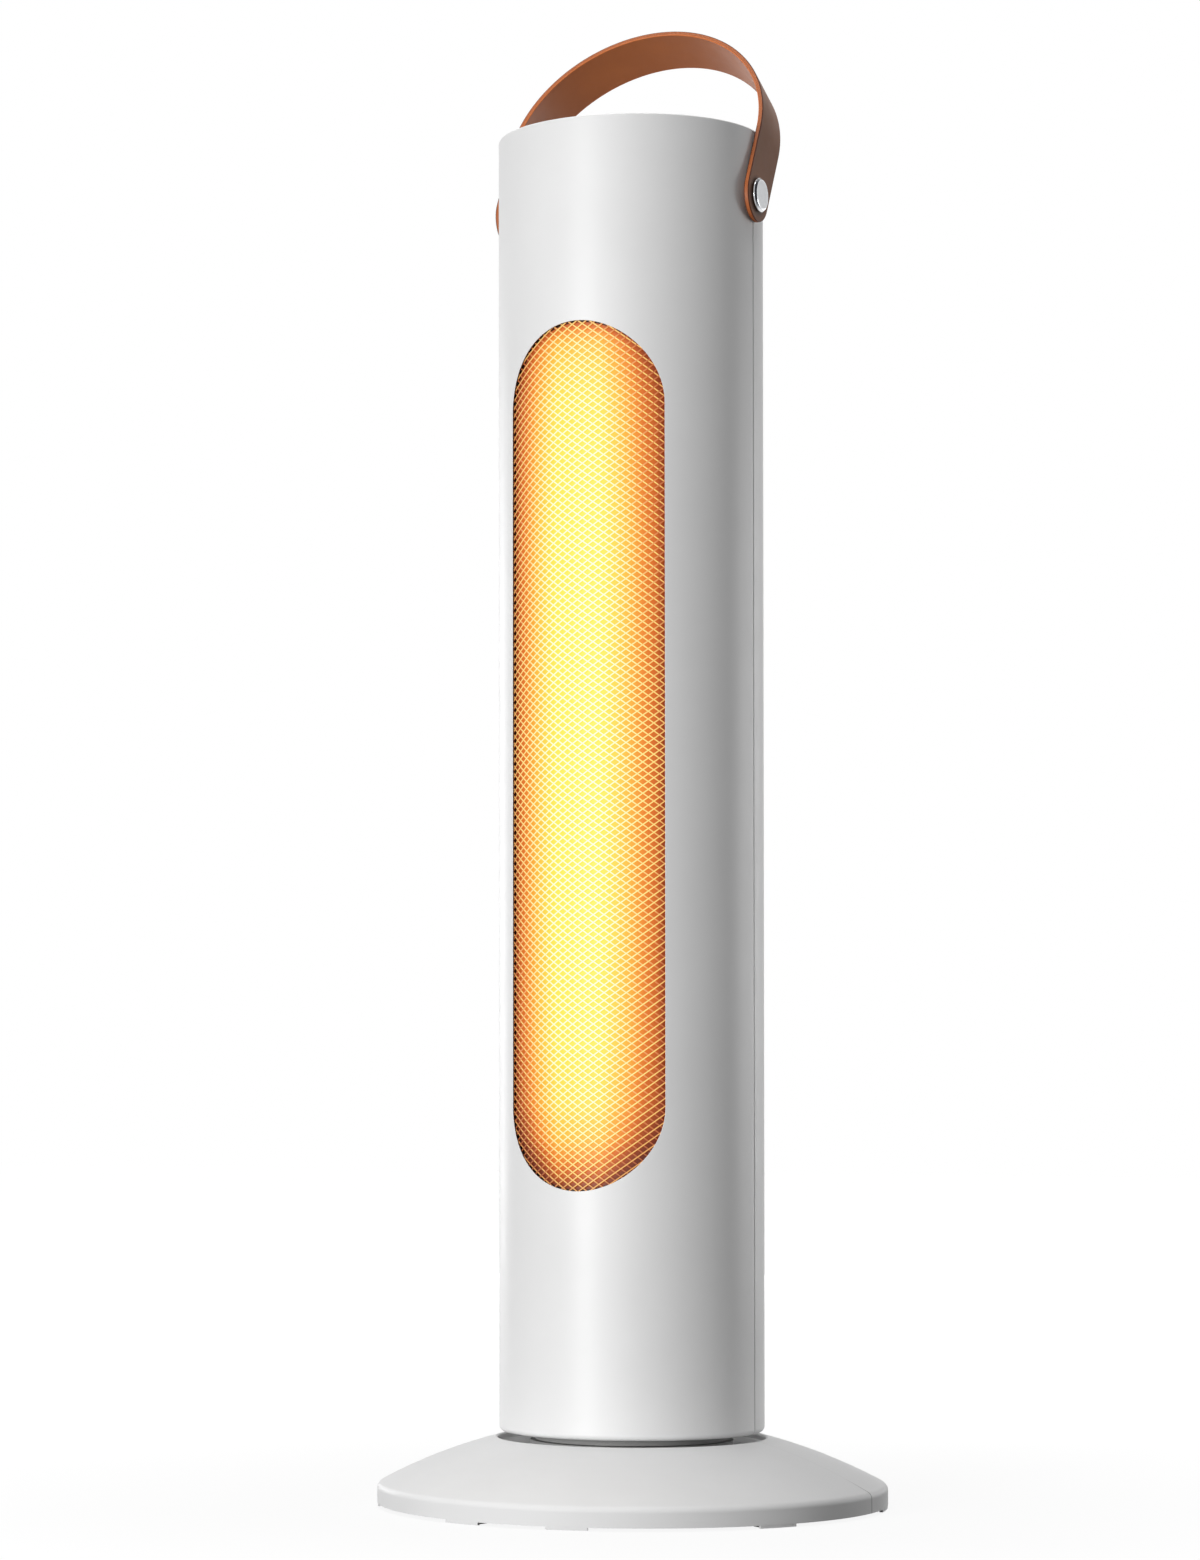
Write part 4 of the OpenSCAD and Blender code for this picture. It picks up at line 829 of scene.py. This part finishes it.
def strap():
    skin = Skin()
    half_t, leg = STRAP_T / 2, STRAP_LEG
    mid_r = TOWER_R + STRAP_GAP + half_t
    bend = math.pi * mid_r
    length = 2 * leg + bend
    turn = Matrix.Rotation(-STRAP_LEAN, 3, "X")
    side = turn @ Vector((0, 1, 0))

    def place(s, w, n):
        """Point, face normal and direction at s along the strap, w across it and n over its middle."""
        if s < leg:
            a, h, na, nh = mid_r, s, 1.0, 0.0
        elif s > leg + bend:
            a, h, na, nh = -mid_r, length - s, -1.0, 0.0
        else:
            th = (s - leg) / mid_r
            a, h, na, nh = mid_r * math.cos(th), leg + mid_r * math.sin(th), math.cos(th), math.sin(th)
        p = Vector((a + na * n, w, h + nh * n))
        return turn @ p + Vector((0, 0, PIVOT_Z)), turn @ Vector((na, 0, nh)), turn @ Vector((-nh, 0, na))

    # Outline in (s, w) with outward directions: round ends and straight sides
    r = STRAP_W / 2
    outline = []
    for s0, a0, sign in ((0.0, math.pi / 2, -1.0), (length, -math.pi / 2, 1.0)):
        for i in range(END_STEPS + 1):
            a = a0 + math.pi * i / END_STEPS
            outline.append((s0 + r * math.cos(a), r * math.sin(a), math.cos(a), math.sin(a)))
        for i in range(1, SIDE_STEPS):
            s = length * (i / SIDE_STEPS if sign < 0 else 1 - i / SIDE_STEPS)
            outline.append((s, sign * r, 0.0, sign))
    # inset from the outline, height over the middle, and the mix of outward and face normals
    turns = [math.radians(b) for b in (0, 30, 60, 90)]
    quarter = [(STRAP_ROUND * (1 - math.sin(a)), half_t - STRAP_ROUND * (1 - math.cos(a)),
                math.sin(a), math.cos(a)) for a in turns]
    rings = quarter + [(-STRAP_BULGE, 0.0, 1.0, 0.0)]
    rings += [(inset, -n, out_part, -face_part) for inset, n, out_part, face_part in reversed(quarter)]
    made = []
    for inset, n, out_part, face_part in rings:
        pts, normals = [], []
        for s, w, ds, dw in outline:
            p, face, along = place(s - ds * inset, w - dw * inset, n)
            normal = along * ds * out_part + side * dw * out_part + face * face_part
            normals.append(tuple(normal.normalized()))
            pts.append(p)
        made.append((skin.points(pts), normals))

    def edge_look(i, s):
        """Dark outer crease line, plain edge, and an inner line that is bright on the arch and dark at the
        ends; the dark at the ends is painted shade where the legs lie against the tower.
        """
        if i < 3:
            return STRAP_CREASE_AND_SHADE
        if i < 5:
            return STRAP_EDGE
        return STRAP_BEAD if leg < s < length - leg else STRAP_CREASE_AND_SHADE

    for i in range(len(made) - 1):
        a, b = made[i], made[i + 1]
        for c in range(len(outline)):
            d = (c + 1) % len(outline)
            skin.face((a[0][c], a[0][d], b[0][d], b[0][c]), (a[1][c], a[1][d], b[1][d], b[1][c]),
                      edge_look(i, outline[c][0]))
    # pairs of points across the strap, from its first end to its last
    count, middle = len(outline), END_STEPS // 2
    start = END_STEPS + SIDE_STEPS
    pairs = [(middle - k, middle + k) for k in range(0, middle + 1)]
    pairs += [(count - i, END_STEPS + i) for i in range(1, SIDE_STEPS)]
    pairs += [(start + END_STEPS - k, start + k) for k in range(0, middle + 1)]
    for (ring, normals), look in ((made[0], STRAP_OUTER), (made[-1], STRAP_INNER)):
        for (a, b), (c, d) in zip(pairs[:-1], pairs[1:]):
            corners = (a % count, b, d, c % count)
            skin.face([ring[i] for i in corners], [normals[i] for i in corners], look)
    return skin


strap_piece = strap().make("strap_leather", [strap_outer, strap_inner, strap_crease, strap_edge, strap_bead])
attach(strap_piece, "handle")
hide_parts("handle_strap")


# Rivets, turned about the pivot axis. Their looks are 0 face, 1 side and 2 bevel.

RIVET_HEAD, RIVET_SHANK_R, RIVET_LENGTH = 1.8 * MM, 2.5 * MM, 20 * MM
BEVEL, BRIGHT_RING, RIVET_ROUND = 0.85 * MM, 0.55 * MM, 0.25 * MM
RIVET_STEPS = 96


def rivets():
    skin = Skin()
    x0 = TOWER_R + STRAP_GAP + STRAP_T + RIVET_GAP
    thick, flat = RIVET_HEAD, RIVET_R - BEVEL
    # radius, height, normal and look: flat face with a bright ring, a bevel and a polished side
    profile = [(0.0, thick, 0, 1, 0), (flat - BRIGHT_RING, thick, 0, 1, 0),
               (flat - BRIGHT_RING + 0.1 * MM, thick - 0.01 * MM, 0.12, 1, 1),
               (flat, thick - 0.1 * MM, 0.2, 1, 1), (flat, thick - 0.1 * MM, 1, 1, 2),
               (RIVET_R, thick - BEVEL - 0.05 * MM, 1, 0.8, 2),
               (RIVET_R, thick - BEVEL - 0.1 * MM, 1, 0.2, 1),
               (RIVET_R, RIVET_ROUND, 1, 0, 1), (RIVET_R - RIVET_ROUND, 0.0, 0, -1, 1),
               (RIVET_SHANK_R, 0.0, 0, -1, 1), (RIVET_SHANK_R, -RIVET_LENGTH, 1, 0, 1),
               (0.0, -RIVET_LENGTH, 0, -1, 1)]
    for s in (-1, 1):
        rings = []
        for r, h, nr, nh, _ in profile:
            n = Vector((nr, nh)).normalized()
            pts, normals = [], []
            for i in range(RIVET_STEPS):
                a = 2 * math.pi * i / RIVET_STEPS
                pts.append((s * (x0 + h), r * math.cos(a), PIVOT_Z + r * math.sin(a)))
                normals.append((s * n[1], n[0] * math.cos(a), n[0] * math.sin(a)))
            ids = skin.points(pts) if r > 0 else skin.points(pts[:1]) * RIVET_STEPS
            rings.append((ids, normals))
        for k in range(len(rings) - 1):
            a, b = rings[k], rings[k + 1]
            na, nb = a[1], b[1]
            if profile[k][3] == -1 and profile[k + 1][3] != -1:
                na = nb
            skin.strip(a[0], b[0], na, nb, profile[k + 1][4], closed=True)
    return skin


rivet_piece = rivets().make("strap_rivets", [rivet_face, rivet_side, rivet_bevel])
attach(rivet_piece, "tower")
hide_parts("handle_rivets")


# Camera at the photograph's place. It is tilted a little so that views from other sides hold the base.

cam_data = bpy.data.cameras.new("camera")
cam = bpy.data.objects.new("camera", cam_data)
scene.collection.objects.link(cam)
cam.location = (0.73646, -1.66941, 0.18417)
CAM_TILT, CAM_TURN = 1.0333, 27.0044
cam.rotation_euler = (math.radians(90 + CAM_TILT), 0, math.radians(CAM_TURN))
cam_data.lens = 96.688
cam_data.sensor_width = 36
cam_data.shift_x = 0.13
cam_data.shift_y = 0.144
cam_data.clip_start, cam_data.clip_end = 0.01, 100
scene.camera = cam

# Light: soft boxes round the object, and a white surround that only the camera, gloss and glass see

LIGHTS = {
    # name: (azimuth from the front, elevation, distance, width, height, power)
    "key": (-15, 0, 2.2, 0.5, 1.0, 42),
    "front": (10, 0, 2.2, 0.5, 1.0, 10.5),
    "left": (-123, 0, 2.2, 0.5, 1.0, 7.2),
    "rim": (135, 0, 2.2, 0.5, 1.0, 9.5),
    "back": (160, 0, 2.2, 0.5, 1.0, 5),
    "rear": (203, 0, 2.2, 0.5, 0.5, 13),
    "top": (0, 89, 2.2, 1.6, 1.6, 32),
}
NO_GLOSS = "rear"  # seen from the front, this lamp would shine off the base's far side
AIM = Vector((0, 0, 0.32))
for name, (az, el, far, w, h, power) in LIGHTS.items():
    data = bpy.data.lights.new(name, "AREA")
    data.shape = "RECTANGLE"
    data.size, data.size_y = w, h
    data.energy = power
    lamp = bpy.data.objects.new(name, data)
    scene.collection.objects.link(lamp)
    lamp.visible_glossy = name != NO_GLOSS
    a, e = math.radians(az), math.radians(el)
    away = Vector((math.sin(a) * math.cos(e), -math.cos(a) * math.cos(e), math.sin(e)))
    lamp.location = AIM + away * far
    lamp.rotation_mode = "QUATERNION"
    lamp.rotation_quaternion = away.to_track_quat("Z", "Y")

AMBIENT = 0.01
world = bpy.data.worlds.new("surround")
scene.world = world
world.use_nodes = True
wt = world.node_tree
wt.nodes.clear()
w_out = wt.nodes.new("ShaderNodeOutputWorld")
w_mix = wt.nodes.new("ShaderNodeMixShader")
wt.links.new(seen(wt), w_mix.inputs["Fac"])
for i, strength in ((1, AMBIENT), (2, 1.0)):
    surround = wt.nodes.new("ShaderNodeBackground")
    surround.inputs["Strength"].default_value = strength
    surround.inputs["Color"].default_value = (1, 1, 1, 1)
    wt.links.new(surround.outputs[0], w_mix.inputs[i])
wt.links.new(w_mix.outputs[0], w_out.inputs["Surface"])

# Floor: a dark surface that keeps the shadow, with a glow of its own that shows as white
FLOOR_REACH = 6
FLOOR_GREY = 0.1
FLOOR_GLOW = [(0.15, 0.9), (0.75, 1.0)]  # distance from the middle in metres, and the strength there
corners = [(-1, -1), (1, -1), (1, 1), (-1, 1)]
floor_mesh = bpy.data.meshes.new("floor")
floor_mesh.from_pydata([(x * FLOOR_REACH, y * FLOOR_REACH, 0) for x, y in corners], [], [(0, 1, 2, 3)])
floor = bpy.data.objects.new("floor", floor_mesh)
scene.collection.objects.link(floor)
floor_look, ft, fs = new_material("floor_pale")
fs.inputs["Base Color"].default_value = (FLOOR_GREY, FLOOR_GREY, FLOOR_GREY, 1)
fs.inputs["Roughness"].default_value = 0.9
fs.inputs["Specular IOR Level"].default_value = 0.0
fs.inputs["Emission Color"].default_value = (1, 1, 1, 1)
place = ft.nodes.new("ShaderNodeTexCoord")
span = ft.nodes.new("ShaderNodeVectorMath")
span.operation = "LENGTH"
ft.links.new(place.outputs["Object"], span.inputs[0])
floor_glow = math_node(ft, "MULTIPLY", seen(ft), ramp(ft, span.outputs["Value"], FLOOR_GLOW))
ft.links.new(floor_glow, fs.inputs["Emission Strength"])
floor_mesh.materials.append(floor_look)

scene.view_settings.view_transform = "Standard"
